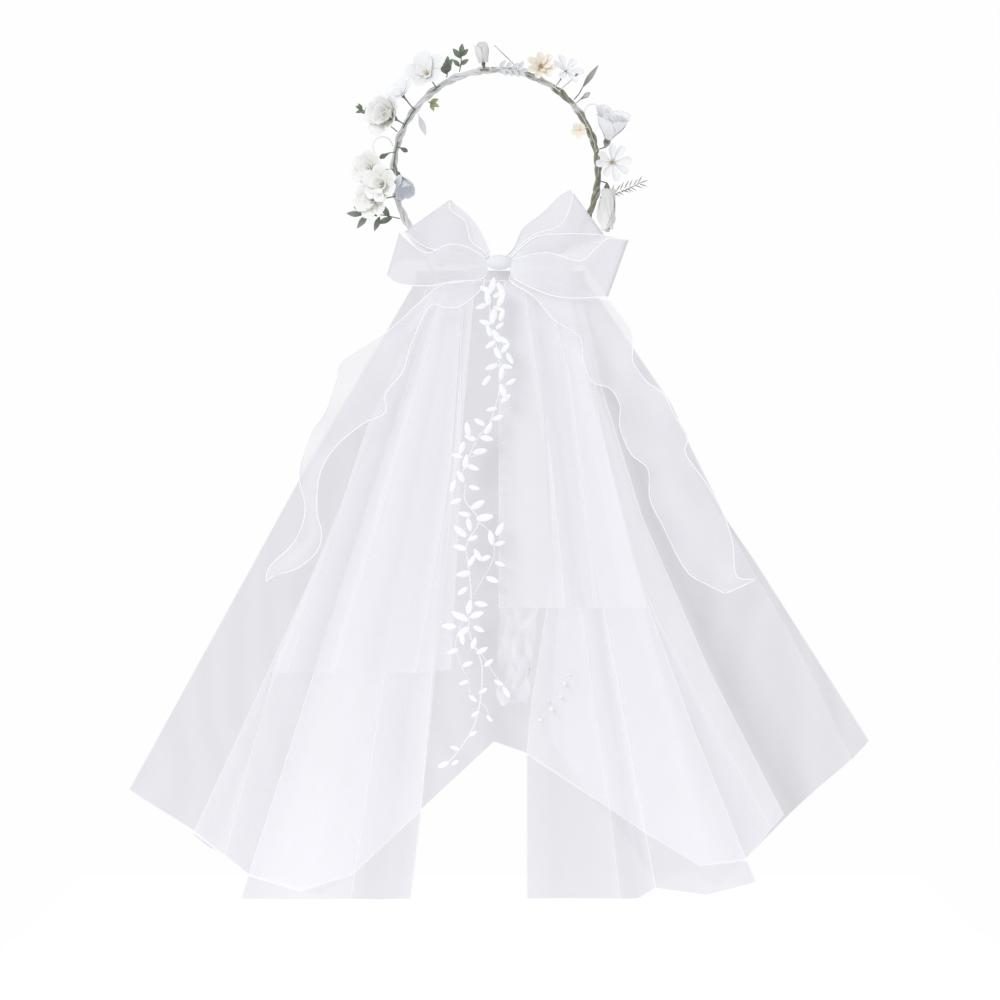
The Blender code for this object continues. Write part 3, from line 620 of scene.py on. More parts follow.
def joined(name, parts, riding, slot_name, *replaced):
    """One piece from several placed parts, with its place in its mesh."""
    clear()
    for part in parts:
        part.data.transform(part.matrix_basis)
        part.matrix_basis = Matrix.Identity(4)
        part.select_set(True)
    bpy.context.view_layer.objects.active = parts[0]
    if len(parts) > 1:
        bpy.ops.object.join()
    made = bpy.context.object
    made.name = name
    made.data.name = name
    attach(made, riding)
    clear()
    if replaced:
        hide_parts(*replaced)


def frame_at(place, along, face=(0, -1, 0)):
    """A matrix that puts +Y along a direction and +Z near a face direction."""
    y = Vector(along).normalized()
    z = Vector(face) - y * Vector(face).dot(y)
    z.normalize()
    x = y.cross(z)
    return Matrix.Translation(Vector(place)) @ Matrix((x, y, z)).transposed().to_4x4()


def turned(angle, axis):
    return Matrix.Rotation(angle, 4, axis)

# %% Petal and leaf finishes
veins, given, put = group("blade_veins", "Ridges", Count=5.0)
join(veins, bands(veins, given["Vector"], given["Count"], "X", 1.2), put)


def bladed(name, foot, tip, count=5.0, roughness=0.7, **sockets):
    """Pressed cloth with a colour from foot to tip and fine veins, on the blank's own UV map."""
    made, tree, shader = blank(name, roughness, Sheen_Weight=0.2, **sockets)
    own = tree.nodes["place"].outputs["UV"]
    ridges = tree.nodes.new("ShaderNodeGroup")
    ridges.node_tree = veins
    ridges.inputs["Count"].default_value = count
    join(tree, own, ridges.inputs["Vector"])
    colour = two_tone(tree, node(tree, "SeparateXYZ", own).outputs["Y"], foot, tip)
    patches = fit_range(tree, place_group(tree, mottle, Scale=120.0), 0.97, 1.04)
    shaded(tree, shader, colour, fit_range(tree, ridges.outputs[0], -0.03, 0.02), patches)
    raise_up(tree, shader, ridges.outputs[0], 0.0002, 0.15)
    return made


# The greyer foot of the white and cool petals is painted shade at the heart of each flower.
WHITE_PETAL = bladed("white_petal_silk", (242, 242, 240), (250, 250, 252))
COOL_PETAL = bladed("cool_petal_silk", (244, 245, 246), (252, 252, 254))
WARM_PETAL = bladed("warm_petal_silk", (248, 248, 238), (253, 253, 253))
CREAM_PETAL = bladed("cream_petal_silk", (246, 232, 208), (251, 249, 242))
BUD_PETAL = bladed("bud_petal_silk", (222, 223, 219), (242, 242, 240))
# The bell's petals darken from foot to tip: painted shade inside the hanging bell, on white silk.
BELL_PETAL_SHADE = bladed("grey_petal_silk", (242, 243, 246), (218, 221, 228))
GREEN_BLADE = bladed("green_leaf_silk", (104, 114, 100), (150, 160, 144), 4.0, 0.55)
DARK_BLADE = bladed("dark_leaf_silk", (96, 106, 92), (134, 144, 128), 4.0, 0.55)
OLIVE_BLADE = bladed("olive_leaf_silk", (136, 142, 100), (184, 188, 146), 4.0, 0.6)
GREY_BLADE = bladed("grey_leaf_silk", (142, 146, 138), (176, 180, 172), 4.0, 0.6)
WHITE_BLADE = bladed("white_leaf_silk", (212, 214, 218), (232, 233, 238), 4.0)
# The stitched leaves glow a little: painted light that makes them read bright white.
LACE_BLADE_GLOW = bladed("lace_leaf_painted_glow", (250, 250, 251), (254, 254, 255), 6.0, 0.85, Emission_Color=(1, 1, 1, 1),
                    Emission_Strength=0.03)
print("petal and leaf finishes ready")

# %% [markdown]
# ## Stitched leaves on the vine
#
# Each leaf is a padded oval of satin stitch, about a centimetre long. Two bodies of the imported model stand
# for two leaf groups, and the leaves here are copies of one small blank, turned to lie along the stem where
# it bends.

# %% Vine leaves
OVAL = (0.25, 0.9, 1.0, 0.8, 0.25)
stitched = blade("stitched_leaf", 11.5 * MM, 5.4 * MM, OVAL, -0.5 * MM, 0, LACE_BLADE_GLOW, 0.9 * MM, 3, 4)
VINE_LEAVES = (
    (-8, -108, 150, 1.1), (2, -112, 20, 1.0), (-12, -122, 200, 1.0), (2, -124, -20, 0.9),
    (-9, -137, 160, 1.0), (3, -140, 40, 0.8), (6, -152, -30, 1.0), (-4, -156, 215, 1.0),
    (12, -168, -60, 1.0), (-3, -176, 200, 1.1), (9, -176, -10, 0.9), (-8, -188, 230, 1.0),
    (13, -190, 30, 0.9), (8, -205, 40, 1.0), (-3, -214, 190, 0.9), (1, -222, 20, 1.0),
    (-14, -226, 150, 1.0), (-9, -240, -10, 1.1), (-22, -240, 160, 1.0), (-15, -252, 10, 1.2),
    (-34, -256, 165, 0.9), (-21, -266, -20, 1.0), (-38, -282, 250, 1.1), (-20, -284, -15, 0.9),
    (-35, -296, 200, 1.0), (-17, -300, 30, 1.3), (-11, -311, 10, 1.4), (-27, -308, 170, 1.0),
    (-31, -324, 140, 1.3), (3, -322, 60, 1.2), (-20, -329, 200, 0.9), (3, -334, 15, 0.9),
    (-31, -338, 165, 1.1), (-16, -345, 120, 1.1), (-9, -347, 200, 1.0), (3, -352, -20, 0.9),
    (-28, -361, 190, 1.2), (-4, -366, -20, 1.1), (-29, -376, 215, 1.0), (-14, -388, -10, 1.1),
    (-18, -398, 20, 1.2), (-30, -400, 150, 1.3), (-41, -408, 175, 1.2), (-28, -412, 215, 1.2),
    (-16, -410, -25, 1.0), (-38, -430, 200, 1.0), (-13, -430, 30, 1.0), (-26, -442, 20, 0.9),
    (-7, -441, 40, 0.9), (2, -458, -30, 0.9), (9, -466, -60, 1.0), (-28, -458, 200, 0.8),
    (-21, -472, -40, 0.8), (-12, -466, 30, 0.8), (-6, -490, -50, 0.7), (-18, -486, 215, 0.8),
    (-21, -504, 30, 0.7), (-36, -517, 160, 0.8), (-46, -531, 205, 1.0), (-37, -530, 30, 0.7),
    (-3, -104, 80, 1.2), (4, -106, -60, 1.2), (-7, -116, 100, 1.2), (4, -118, 60, 1.1),
    (-2, -130, -100, 1.3), (5, -131, 70, 1.0), (-6, -145, 110, 1.0), (0, -148, -60, 1.2),
    (8, -160, 50, 1.0), (2, -165, 120, 1.1), (5, -183, 80, 1.1), (6, -197, -70, 1.2), (-7, -232, 60, 1.1),
    (-25, -233, 100, 1.2), (-30, -248, -110, 1.1), (-27, -262, 80, 1.2), (-31, -275, 120, 1.1),
    (-24, -316, -80, 1.1), (-4, -330, 100, 1.2), (-22, -350, 60, 1.0), (-24, -392, 80, 1.2),
    (-35, -398, -40, 1.1), (-30, -420, 100, 1.0), (-20, -424, 70, 1.0))


LEAF_HALF = 5 * MM
LEAF_FORWARD = 1.6 * MM
GROUPS_MEET = -270


def leaf_group(name, rows, replaced):
    parts = []
    for x, z, degrees, size in rows:
        turn = math.radians(degrees)
        along = Vector((math.cos(turn), 0.12 * math.sin(7 * x), math.sin(turn)))
        leaf = copy_of(stitched)
        start = Vector((x * MM, VINE_DEPTH - LEAF_FORWARD, z * MM)) - along * LEAF_HALF * size
        leaf.matrix_basis = frame_at(start, along) @ Matrix.Scale(size, 4)
        parts.append(leaf)
    joined(name, parts, "vine", "lace", replaced)


upper = [row for row in VINE_LEAVES if row[1] > GROUPS_MEET]
lower = [row for row in VINE_LEAVES if row[1] <= GROUPS_MEET]
leaf_group("vine_leaves_upper_stitched", upper, "vine_leaves_upper")
leaf_group("vine_leaves_lower_stitched", lower, "vine_leaves_lower")
discard([stitched])
print("stitched leaves:", len(VINE_LEAVES))

# %% [markdown]
# ## The pleated veil
#
# The veil is net, gathered along one edge and left to fall in long narrow pleats. Each layer is a grid hung
# between fold lines: a line runs from the gathered edge to the hem, and stands forward or lies back. Where
# cloth turns over at a fold it is double, so the fold shows as a fine bright line. A simulation would move
# the pleats about, and these pleats were pressed, so the folds are drawn and only a little ripple is added.

# %% Sheets between fold lines
def along_line(points, share):
    """A point at a share of the height of a line that runs down through the given points."""
    top = points[0][1]
    want = top + (points[-1][1] - top) * share
    for (x0, z0), (x1, z1) in zip(points, points[1:]):
        if want >= z1 or (x1, z1) == points[-1]:
            part = (want - z0) / (z1 - z0) if z1 != z0 else 0
            return x0 + (x1 - x0) * part, want
    return points[-1]


VEIL_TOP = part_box("veil_back")[1].z / MM


def cloth(name, grid, look, riding, fullness_and_shade, slot_name, *replaced):
    """A single-skin grid with its attribute for fullness and painted shade, facing the front."""
    body = bmesh.new()
    verts = [[body.verts.new(p) for p in row] for row in grid]
    for upper_row, lower_row in zip(verts, verts[1:]):
        for i in range(len(upper_row) - 1):
            body.faces.new((upper_row[i], lower_row[i], lower_row[i + 1], upper_row[i + 1]))
    made = piece(name, body, look, riding, False)
    values = made.data.attributes.new("fullness_and_shade", "FLOAT", "POINT")
    values.data.foreach_set("value", [max(HOLLOW, min(1, v)) for row in fullness_and_shade for v in row])
    if replaced:
        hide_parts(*replaced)
    return made


def grid_of(rows, across, at):
    """Rows of points and their fullness and shade, by a rule that is given the shares down and across."""
    cells = [[at(j / rows, i / across) for i in range(across + 1)] for j in range(rows + 1)]
    grid = [[Vector(place) * MM for place, _ in row] for row in cells]
    return grid, [[full for _, full in row] for row in cells]


LEAST_AREA_SHARE = 0.31


def declare_sheet(made, width, length, held, rests_on, **more):
    area = min(sum(face.area for face in made.data.polygons), width * length)
    area = max(area, LEAST_AREA_SHARE * width * length)
    print(made.name, "cut", round(width, 3), "x", round(length, 3), "m, area", round(area, 4))


CREST = 0.5
CREST_HALF_WIDTH = 0.55
CREST_RISE = 0.1
BESIDE_CREST = 0.25


def on_fold(column, share):
    """The place of a fold line at a share of its height, and its fullness and shade."""
    line, top_depth, hem_depth, full = column
    x, z = along_line(line, share)
    return x, top_depth + (hem_depth - top_depth) * share, z, full


def beside(full):
    return BESIDE_CREST * full if full >= CREST else full


def pleated(name, columns, look, replaced, seed, ripple=0.8, rows=56, across=5, hem_full=0.85):
    """A layer hung on its fold lines; each column is (line, depth at top, depth at hem, fullness and shade)."""
    grid = []
    fullness_and_shade = []
    for share in [j / rows for j in range(rows)] + [0.9985, 1.0]:
        row = []
        values = []
        folds = [on_fold(column, share) for column in columns]
        for (x, depth, z, full), after in zip(folds, folds[1:] + [None]):
            near = beside(full)
            if full >= CREST:
                row.append((x - CREST_HALF_WIDTH, depth, z))
                row.append((x, depth - CREST_RISE, z))
                row.append((x + CREST_HALF_WIDTH, depth, z))
                values += [near, full, near]
            else:
                row.append((x, depth, z))
                values.append(full)
            if not after:
                continue
            next_x, next_depth, next_z, next_full = after
            for k in range(1, across):
                part = k / across
                px = x + (next_x - x) * part
                pz = z + (next_z - z) * part
                wave = noise.noise(Vector((px * 0.035, pz * 0.012, seed))) * ripple * share
                fine = noise.noise(Vector((px * 0.12, pz * 0.02, seed + 9))) * 0.3 * ripple * share
                row.append((px, depth + (next_depth - depth) * part + wave + fine, pz))
                values.append(near + (beside(next_full) - near) * part)
        grid.append([Vector(p) * MM for p in row])
        if share == 1.0:
            values = [max(v, hem_full) for v in values]
        fullness_and_shade.append(values)
    made = cloth(name, grid, look, "bow_and_veil", fullness_and_shade, "tulle", replaced)
    tall = max((top - foot).length for top, foot in zip(grid[0], grid[-1]))
    declare_sheet(made, length_of(grid[-1]), tall, "gathered", "veil_header_band")


T = VEIL_TOP
# In each layer's table the last number of a column is its fullness; below 0 it marks a hollow darkened with
# painted shade.
BACK = (
    (((-72, T), (-176, -274), (-332, -558)), 9, 16, 0.8), (((-62, T), (-274, -596)), 8, 24, 0.1),
    (((-54, T), (-224, -634)), 9, 15, -0.15), (((-44, T), (-176, -649)), 8, 24, 0.15),
    (((-32, T), (-130, -634)), 9, 15, 0.0), (((-18, T), (-68, -576)), 8, 22, 0.1),
    (((-4, T), (-2, -514)), 9, 16, 0.0), (((10, T), (28, -525)), 8, 22, 0.05),
    (((30, T), (104, -575)), 9, 14, 0.1), (((40, T), (129, -592)), 8, 22, 0.0),
    (((52, T), (184, -626)), 9, 15, 0.1), (((62, T), (227, -621)), 8, 24, 0.0),
    (((70, T), (92, -193), (130, -311), (190, -450), (257, -589)), 9, 17, -0.2),
    (((72, T), (104, -193), (142, -311), (204, -450), (270, -576)), 9, 17, -0.5),
    (((74, T), (116, -193), (168, -311), (238, -450), (292, -556)), 9, 17, 0.0),
    (((75, T), (94, -125), (269, -422), (322, -530)), 8, 14, 0.6),
    (((80, T), (94, -115), (158, -208), (174, -244), (210, -316), (233, -349), (338, -514)), 9, 18, 0.8))
pleated("veil_back_layer", BACK, BACK_TULLE_PAINTED_SHADE, "veil_back", 1, ripple=1.6)

# %% The two middle layers
MIDDLE_LEFT = (
    (((-60, T), (-159, -349), (-274, -598)), 6.5, 10, 0.9), (((-55, T), (-259, -610)), 7, 13, -0.1),
    (((-50, T), (-200, -445), (-245, -616)), 6.6, 11, 0.8), (((-47, T), (-224, -634)), 7, 14, -0.1),
    (((-43, T), (-120, -349), (-196, -643)), 6.6, 11, 0.3), (((-38, T), (-159, -653)), 7, 14, -0.2),
    (((-32, T), (-130, -634)), 7, 13, 0.05), (((-20, T), (-68, -576)), 6.6, 11, 0.6))
pleated("veil_middle_left_layer", MIDDLE_LEFT, UPPER_TULLE, "veil_middle_left", 2)
MIDDLE_RIGHT = (
    (((20, T), (60, -349), (49, -511)), 6.6, 10, 0.5), (((30, T), (94, -575)), 7, 14, 0.0),
    (((36, T), (118, -600)), 6.6, 11, 0.3), (((41, T), (136, -630)), 7, 14, -0.1),
    (((48, T), (147, -640)), 6.6, 11, 0.5), (((53, T), (176, -630)), 7, 14, 0.1),
    (((58, T), (199, -645)), 6.6, 11, 0.5), (((64, T), (135, -400), (222, -625)), 7, 14, -0.5),
    (((70, T), (113, -326), (144, -400), (190, -487), (249, -592)), 6.6, 10, 0.95),
    (((74, T), (95, -193), (132, -311), (193, -450), (260, -580)), 6.8, 10, 0.95))
pleated("veil_middle_right_layer", MIDDLE_RIGHT, UPPER_TULLE, "veil_middle_right", 3)

# %% The two long front panels
FRONT_LEFT = (
    (((-50, T), (-159, -436), (-230, -655)), 5.4, 5, 0.95), (((-47, T), (-180, -656)), 5.8, 8, 0.4),
    (((-37, T), (-64, -274), (-100, -448), (-131, -655)), 5.3, 4, 0.8),
    (((-28, T), (-104, -656)), 5.8, 8, -0.3),
    (((-19, T), (-33, -253), (-49, -335), (-57, -443), (-68, -576), (-77, -655)), 5.4, 5, 0.85))
FRONT_RIGHT = (
    (((31, T), (54, -284), (49, -374), (32, -480), (28, -525), (28, -655)), 5.4, 5, 0.85),
    (((37, T), (66, -655)), 5.8, 8, -0.1),
    (((48, T), (76, -392), (102, -572), (112, -655)), 5.3, 4, 0.6), (((52, T), (128, -655)), 5.8, 7, -0.25),
    (((54, T), (89, -349), (144, -645)), 5.3, 3.5, 0.95), (((58, T), (190, -652)), 5.8, 8, 0.3),
    (((64, T), (124, -355), (179, -505), (234, -640)), 5.4, 4, 0.85))
pleated("veil_front_left_panel", FRONT_LEFT, UPPER_TULLE, "veil_front_left", 4)
pleated("veil_front_right_panel", FRONT_RIGHT, UPPER_TULLE, "veil_front_right", 5)

# %% The two short upper layers
SHORT_LEFT = (
    (((-56, T), (-202, -450)), 4.2, -6, 0.15), (((-52, T), (-116, -228), (-188, -450)), 4.0, -7, 0.7),
    (((-48, T), (-166, -449)), 4.4, -3, -0.35), (((-44, T), (-105, -310), (-146, -450)), 4.0, -7, 0.8),
    (((-37, T), (-110, -450)), 4.4, -3, -0.3), (((-30, T), (-40, -264), (-72, -450)), 4.0, -7, 0.7),
    (((-26, T), (-54, -449)), 4.4, -3, 0.0),
    (((-22, T), (-32, -135), (-33, -295), (-41, -448)), 4.2, -6, 0.6))
SHORT_RIGHT = (
    (((8, T), (3, -160), (3, -392)), 4.2, -7, 0.9), (((14, T), (22, -392)), 4.4, -3, 0.3),
    (((24, T), (52, -284), (62, -392)), 4.0, -7, 0.8), (((33, T), (60, -264), (76, -392)), 4.4, -3, -0.5),
    (((44, T), (66, -182), (81, -311), (91, -392)), 4.0, -7, 0.9), (((52, T), (116, -392)), 4.4, -3, 0.3),
    (((60, T), (136, -392)), 4.2, -6, 0.25))
pleated("veil_short_left_layer", SHORT_LEFT, UPPER_TULLE, "veil_short_left", 6, hem_full=0.3)
pleated("veil_short_right_layer", SHORT_RIGHT, UPPER_TULLE, "veil_short_right", 7, hem_full=0.3)

# %% [markdown]
# ## Crumpled net
#
# Under the short right layer a small tuft of spare net is crumpled between the long panels. It could be
# part of a panel, but its folds run in every direction and its foot is ragged. So it is a small sheet of
# its own, with its own light and dark strips. Its dark strips lie in the hollows of its folds and are
# painted shade.

# %% Crumpled net
NET_LEFT, NET_RIGHT, NET_TOP, NET_FOOT = 2, 38, -391, -478
NET_NARROWS = 0.3
NET_RAGGED = 5
NET_SAG = 6
NET_DEPTH = -3
NET_FOLD_DEPTH = 5


def net_at(down, across_net):
    ragged = NET_RAGGED * noise.noise(Vector((down * 5, int(across_net), 3)))
    x = NET_LEFT + (NET_RIGHT - NET_LEFT) * across_net * (1 - NET_NARROWS * down) + ragged
    sag = NET_SAG * noise.noise(Vector((across_net * 3, down * 2, 8)))
    fold = noise.noise(Vector((across_net * 4 + down * 2, down * 5 - across_net * 2, 21)))
    place = (x, NET_DEPTH + NET_FOLD_DEPTH * fold, NET_TOP + (NET_FOOT - NET_TOP) * down + sag)
    # Fullness below 0 in a fold's hollow gives the dark strips: painted shade.
    return place, max(-0.3, min(0.6, 0.1 + 0.7 * fold))


net_grid, net_full = grid_of(24, 16, net_at)
crumpled = cloth("crumpled_net_tuft", net_grid, UPPER_TULLE, "bow_and_veil", net_full, "tulle")
declare_sheet(crumpled, 0.055, 0.105, "gathered", "veil_short_right_layer")

# %% Gathered header band
low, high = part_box("veil_header")
HEADER_STEPS = 120


def header_at(down, across_band):
    i = round(across_band * HEADER_STEPS)
    gather = 0.5 + 0.5 * math.sin(i * 1.3 + 0.7 * math.sin(i * 0.4))
    x = low.x + (high.x - low.x) * across_band
    return (x / MM, low.y / MM + 1.2 + 0.9 * gather, (high.z + (low.z - high.z) * down) / MM), 0.1


header_grid, header_full = grid_of(4, HEADER_STEPS, header_at)
header = cloth("veil_header_band", header_grid, BACK_TULLE_PAINTED_SHADE, "bow_and_veil", header_full, "tulle",
               "veil_header")
declare_sheet(header, 0.34, 0.0101, "gathered", "rolled_tie_ribbon")

# %% [markdown]
# ## The bow
#
# The bow is stiff organza with a stitched cord in each edge. A loop is one ribbon that runs out from the
# knot, folds over at its far end and comes back, so both runs show through each other and their edges
# cross. Each run is drawn by its two edges, and the folded end joins them.

# %% Loops from their edges
BOW_ROWS = 18
BOW_ACROSS = 8
CORD_FORWARD = Vector((0, -0.3 * MM, 0))


def ribbon_edges(outer, inner, steps):
    """The two edges of a ribbon, with their points at even distances."""
    return [even([(x, 0, z) for x, z in edge], steps) for edge in (outer, inner)]


def edge_cords(name, lines, riding=None):
    made = tubes(name + "_edges", lines, 0.5 * MM, EDGE_CORD_GLOW, riding, 6, 0.3)
    return made


def loop(node_name, back_edges, front_edges, back_depth, front_depth, puff, seed):
    """A ribbon loop; edges are (upper, lower) lines from the knot to the fold, depths are (knot, fold)."""
    grid = []
    fullness_and_shade = []
    for edges, (near, far), returning in ((back_edges, back_depth, False), (front_edges, front_depth, True)):
        upper_line, lower_line = ribbon_edges(*edges, BOW_ROWS)
        order = range(BOW_ROWS, -1, -1) if returning else range(BOW_ROWS + 1)
        for j in order:
            share = j / BOW_ROWS
            depth = near + (far - near) * share
            row = []
            for i in range(BOW_ACROSS + 1):
                part = i / BOW_ACROSS
                p = upper_line[j].lerp(lower_line[j], part)
                crown = math.sin(math.pi * part) * math.sin(math.pi * min(1, share * 1.15)) * puff
                crease = noise.noise(Vector((share * 2, part * 5, seed + returning * 3)))
                crease *= 1.6 * (1 - 0.5 * share)
                row.append(Vector((p.x, depth + (-crown if returning else crown * 0.5) + crease, p.z)) * MM)
            grid.append(row)
            pinch = 0.65 * (1 - share) ** 3
            fullness_and_shade.append([pinch + (0.45 if share > 0.97 else 0.1)] * len(row))
    name = "bow_" + node_name
    made = cloth(name, grid, BOW_ORGANZA, "bow_and_veil", fullness_and_shade, "organza", node_name)
    edge_lines = [[row[k] + CORD_FORWARD for row in grid] for k in (0, -1)]
    cords = edge_cords(name, edge_lines, "bow_and_veil")
    wide = (grid[BOW_ROWS][0] - grid[BOW_ROWS][-1]).length
    declare_sheet(made, wide, length_of(edge_lines[0]), "folded", "bow_knot_band", with_pieces=[cords])


LOWER_RIGHT_BACK = (((12, -79), (31, -62), (43, -58), (72, -57), (100, -59), (118, -64)),
                    ((13, -93), (34, -101), (51, -104), (63, -97), (75, -84), (87, -96), (100, -114)))
LOWER_RIGHT_FRONT = (((13, -81), (34, -75), (51, -75), (75, -82), (87, -73), (100, -62), (118, -64)),
                     ((14, -96), (33, -106), (52, -113), (74, -115), (100, -114)))
UPPER_RIGHT_BACK = (((6, -79), (16, -68), (24, -51), (42, -37), (57, -22), (67, -17)),
                    ((12, -84), (42, -73), (70, -66), (97, -58)))
UPPER_RIGHT_FRONT = (((8, -80), (25, -64), (37, -56), (59, -48), (69, -24), (67, -17)),
                     ((12, -86), (46, -79), (75, -70), (97, -58)))
UPPER_LEFT_BACK = (((-5, -79), (-6, -70), (-15, -51), (-25, -39), (-41, -26)),
                   ((-5, -84), (-34, -84), (-61, -79), (-82, -55)))
UPPER_LEFT_FRONT = (((-7, -80), (-10, -73), (-23, -62), (-27, -46), (-41, -35), (-41, -26)),
                    ((-5, -84), (-39, -73), (-62, -69), (-82, -55)))
LOWER_LEFT_BACK = (((-7, -83), (-30, -91), (-50, -97), (-56, -88), (-63, -76), (-75, -67), (-86, -57)),
                   ((-8, -93), (-38, -101), (-56, -96), (-63, -82), (-85, -82), (-97, -95)))
LOWER_LEFT_FRONT = (((-8, -79), (-26, -69), (-43, -67), (-61, -75), (-75, -67), (-86, -57)),
                    ((-8, -93), (-15, -98), (-38, -100), (-61, -104), (-87, -102), (-97, -95)))
UPPER = (-5, -7), (-8, -12), 3
LOWER = (-10, -17), (-13, -26), 5
loop("loop_upper_right", UPPER_RIGHT_BACK, UPPER_RIGHT_FRONT, *UPPER, 11)
loop("loop_upper_left", UPPER_LEFT_BACK, UPPER_LEFT_FRONT, *UPPER, 12)
loop("loop_lower_right", LOWER_RIGHT_BACK, LOWER_RIGHT_FRONT, *LOWER, 13)
loop("loop_lower_left", LOWER_LEFT_BACK, LOWER_LEFT_FRONT, *LOWER, 14)

# %% [markdown]
# ## The knot
#
# The knot is the ribbon drawn once round the middle, so it is a barrel with creases along its wrap. It
# starts as a ball with its poles to the left and right. The end rings are drawn in, and every third strip
# is pressed down.

# %% Knot
low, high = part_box("bow_knot")
knot_middle = (low + high) / 2
knot_half = (high - low) / 2
clear()
bpy.ops.mesh.primitive_uv_sphere_add(segments=24, ring_count=14, radius=1, location=(0, 0, 0),
                                     rotation=(0, math.pi / 2, 0))
knot = bpy.context.object
knot.name = "bow_knot_band"
bpy.ops.object.transform_apply(rotation=True)
pick(knot, lambda point: abs(point.co.x) < 0.75)
stretch(1, 1.12, 1.12)
for crease in (-0.55, -0.2, 0.2, 0.6):
    pick(knot, lambda point: abs(point.co.x - crease) < 0.09)
    stretch(1, 0.9, 0.88, (crease, 0, 0))
pick(knot, lambda point: True)
stretch(knot_half.x * 1.1, knot_half.y * 0.95, knot_half.z)
shift(*knot_middle)
object_mode()
apply_modifier(knot, "SUBSURF", levels=1, render_levels=1)
knot_cloth, tree, shader = blank("organza_knot", 0.7, Sheen_Weight=0.15)
ribs = place_group(tree, weave, Scale=240.0)
# The ribbon is darker in the hollows between its ribs: painted shade.
join(tree, two_tone(tree, ribs, (235, 234, 240), (246, 245, 251)), shader.inputs["Base Color"])
raise_up(tree, shader, ribs, 0.0002)
dress(knot, knot_cloth)
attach(knot, "bow_and_veil")
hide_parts("bow_knot")
print("knot is", [round(v * 1000) for v in knot.dimensions], "mm")

# %% [markdown]
# ## The rolled tie ribbon
#
# The rolled tie ribbon is a strip of organza twisted into a soft cord, which passes through both eyelets
# and carries the veil. It could be a plain round bar, but the open spiral of the strip shows at both ends,
# where it is cut. So one sheet is wound a little more than twice round a straight line, and it gets thicker
# with each turn.

# %% Rolled tie ribbon
tie_low, tie_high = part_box("tie_ribbon")
tie_middle = (tie_low + tie_high) / 2
ROLL_TURNS = 2.2
ROLL_CORE = 0.55
ROLL_GROWS = 0.43


def roll_at(along_tie, round_tie):
    turn = 2 * math.pi * ROLL_TURNS * round_tie
    radius = (tie_high.z - tie_low.z) / 2 * (ROLL_CORE + ROLL_GROWS * round_tie)
    x = tie_low.x + (tie_high.x - tie_low.x) * along_tie
    place = Vector((x, tie_middle.y + radius * math.cos(turn), tie_middle.z + radius * math.sin(turn)))
    return place / MM, 0.3


roll, roll_full = grid_of(24, 44, roll_at)
tie = cloth("rolled_tie_ribbon", roll, knot_cloth, "bow_and_veil", roll_full, "organza", "tie_ribbon")
declare_sheet(tie, length_of(roll[0]), tie_high.x - tie_low.x, "folded", "hoop_wire")
print("tie box", [round(v * 1000, 1) for v in tie_high - tie_low])

# %% [markdown]
# ## The two ribbon tails
#
# Each tail leaves the knot, drops over the veil and ends in a slanted cut. Its edges are gathered on a
# thread, which makes them wave forward and back.

# %% Tails
TAIL_ROWS = 90
TAIL_ACROSS = 10


def hang_tail(name, outer, inner, body_name, hinge_x, seed, *replaced):
    outer_line, inner_line = ribbon_edges(outer, inner, TAIL_ROWS)

    def tail_at(share, part):
        j = round(share * TAIL_ROWS)
        p = outer_line[j].lerp(inner_line[j], part)
        edge = abs(2 * part - 1)
        wave = 2.2 * edge ** 2 * math.sin(share * 42 + part * 2.4 + seed) * min(1, share * 6)
        slow = 1.6 * math.sin(share * 9 + seed + part * 3) * min(1, share * 5)
        full = 0.1 + 0.22 * (0.5 + 0.5 * math.sin(part * 6.3 + share * 12 + seed))
        return (p.x, -7 - 7 * min(1, share * 7) + wave + slow, p.z), full

    grid, fullness_and_shade = grid_of(TAIL_ROWS, TAIL_ACROSS, tail_at)
    made = cloth(name, grid, TAIL_ORGANZA, None, fullness_and_shade, "organza")
    edges = [[row[k] + CORD_FORWARD for row in grid] for k in (0, -1)]
    edges.append([p + CORD_FORWARD for p in grid[-1]])
    cords = edge_cords(name, edges)
    for part in (made, cords):
        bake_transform(part)
    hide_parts(*replaced)
    wide = max((row[0] - row[-1]).length for row in grid)
    declare_sheet(made, wide, length_of(edges[0]), "hung", "bow_knot_band", with_pieces=[cords])


LEFT_OUTER = (
    (-12, -88), (-16, -94), (-45, -101), (-65, -115), (-72, -121), (-94, -142), (-136, -170), (-143, -187),
    (-153, -217), (-165, -234), (-174, -259), (-176, -275), (-171, -305), (-180, -332), (-202, -354),
    (-206, -368))
LEFT_INNER = (
    (-10, -96), (-13, -106), (-31, -121), (-45, -123), (-59, -122), (-76, -156), (-83, -180), (-99, -200),
    (-99, -217), (-119, -227), (-143, -247), (-158, -273), (-160, -305), (-156, -324), (-160, -341),
    (-177, -356), (-197, -362))
RIGHT_OUTER = (
    (16, -88), (22, -94), (58, -103), (94, -115), (102, -119), (121, -144), (122, -163), (123, -173),
    (136, -190), (150, -200), (160, -220), (172, -238), (170, -254), (189, -281), (202, -304), (212, -334),
    (215, -363), (233, -366))
RIGHT_INNER = (
    (12, -94), (14, -100), (35, -114), (52, -134), (75, -149), (78, -170), (86, -189), (102, -195),
    (111, -210), (111, -230), (121, -254), (136, -268), (138, -295), (150, -320), (170, -358), (189, -371),
    (206, -379))
hang_tail("ribbon_tail_left", LEFT_OUTER, LEFT_INNER, "left_tail", -0.0565, 0.3, "tail_left", "tail_roots")
hang_tail("ribbon_tail_right", RIGHT_OUTER, RIGHT_INNER, "right_tail", 0.0685, 1.7, "tail_right")

# %% [markdown]
# ## Pearls and beads
#
# A row of small beads is sewn down one edge of the short layer, and a few pearls lie lower on the right.
# One bead is a ball with its thread holes pressed in at the poles, and the rest are copies.

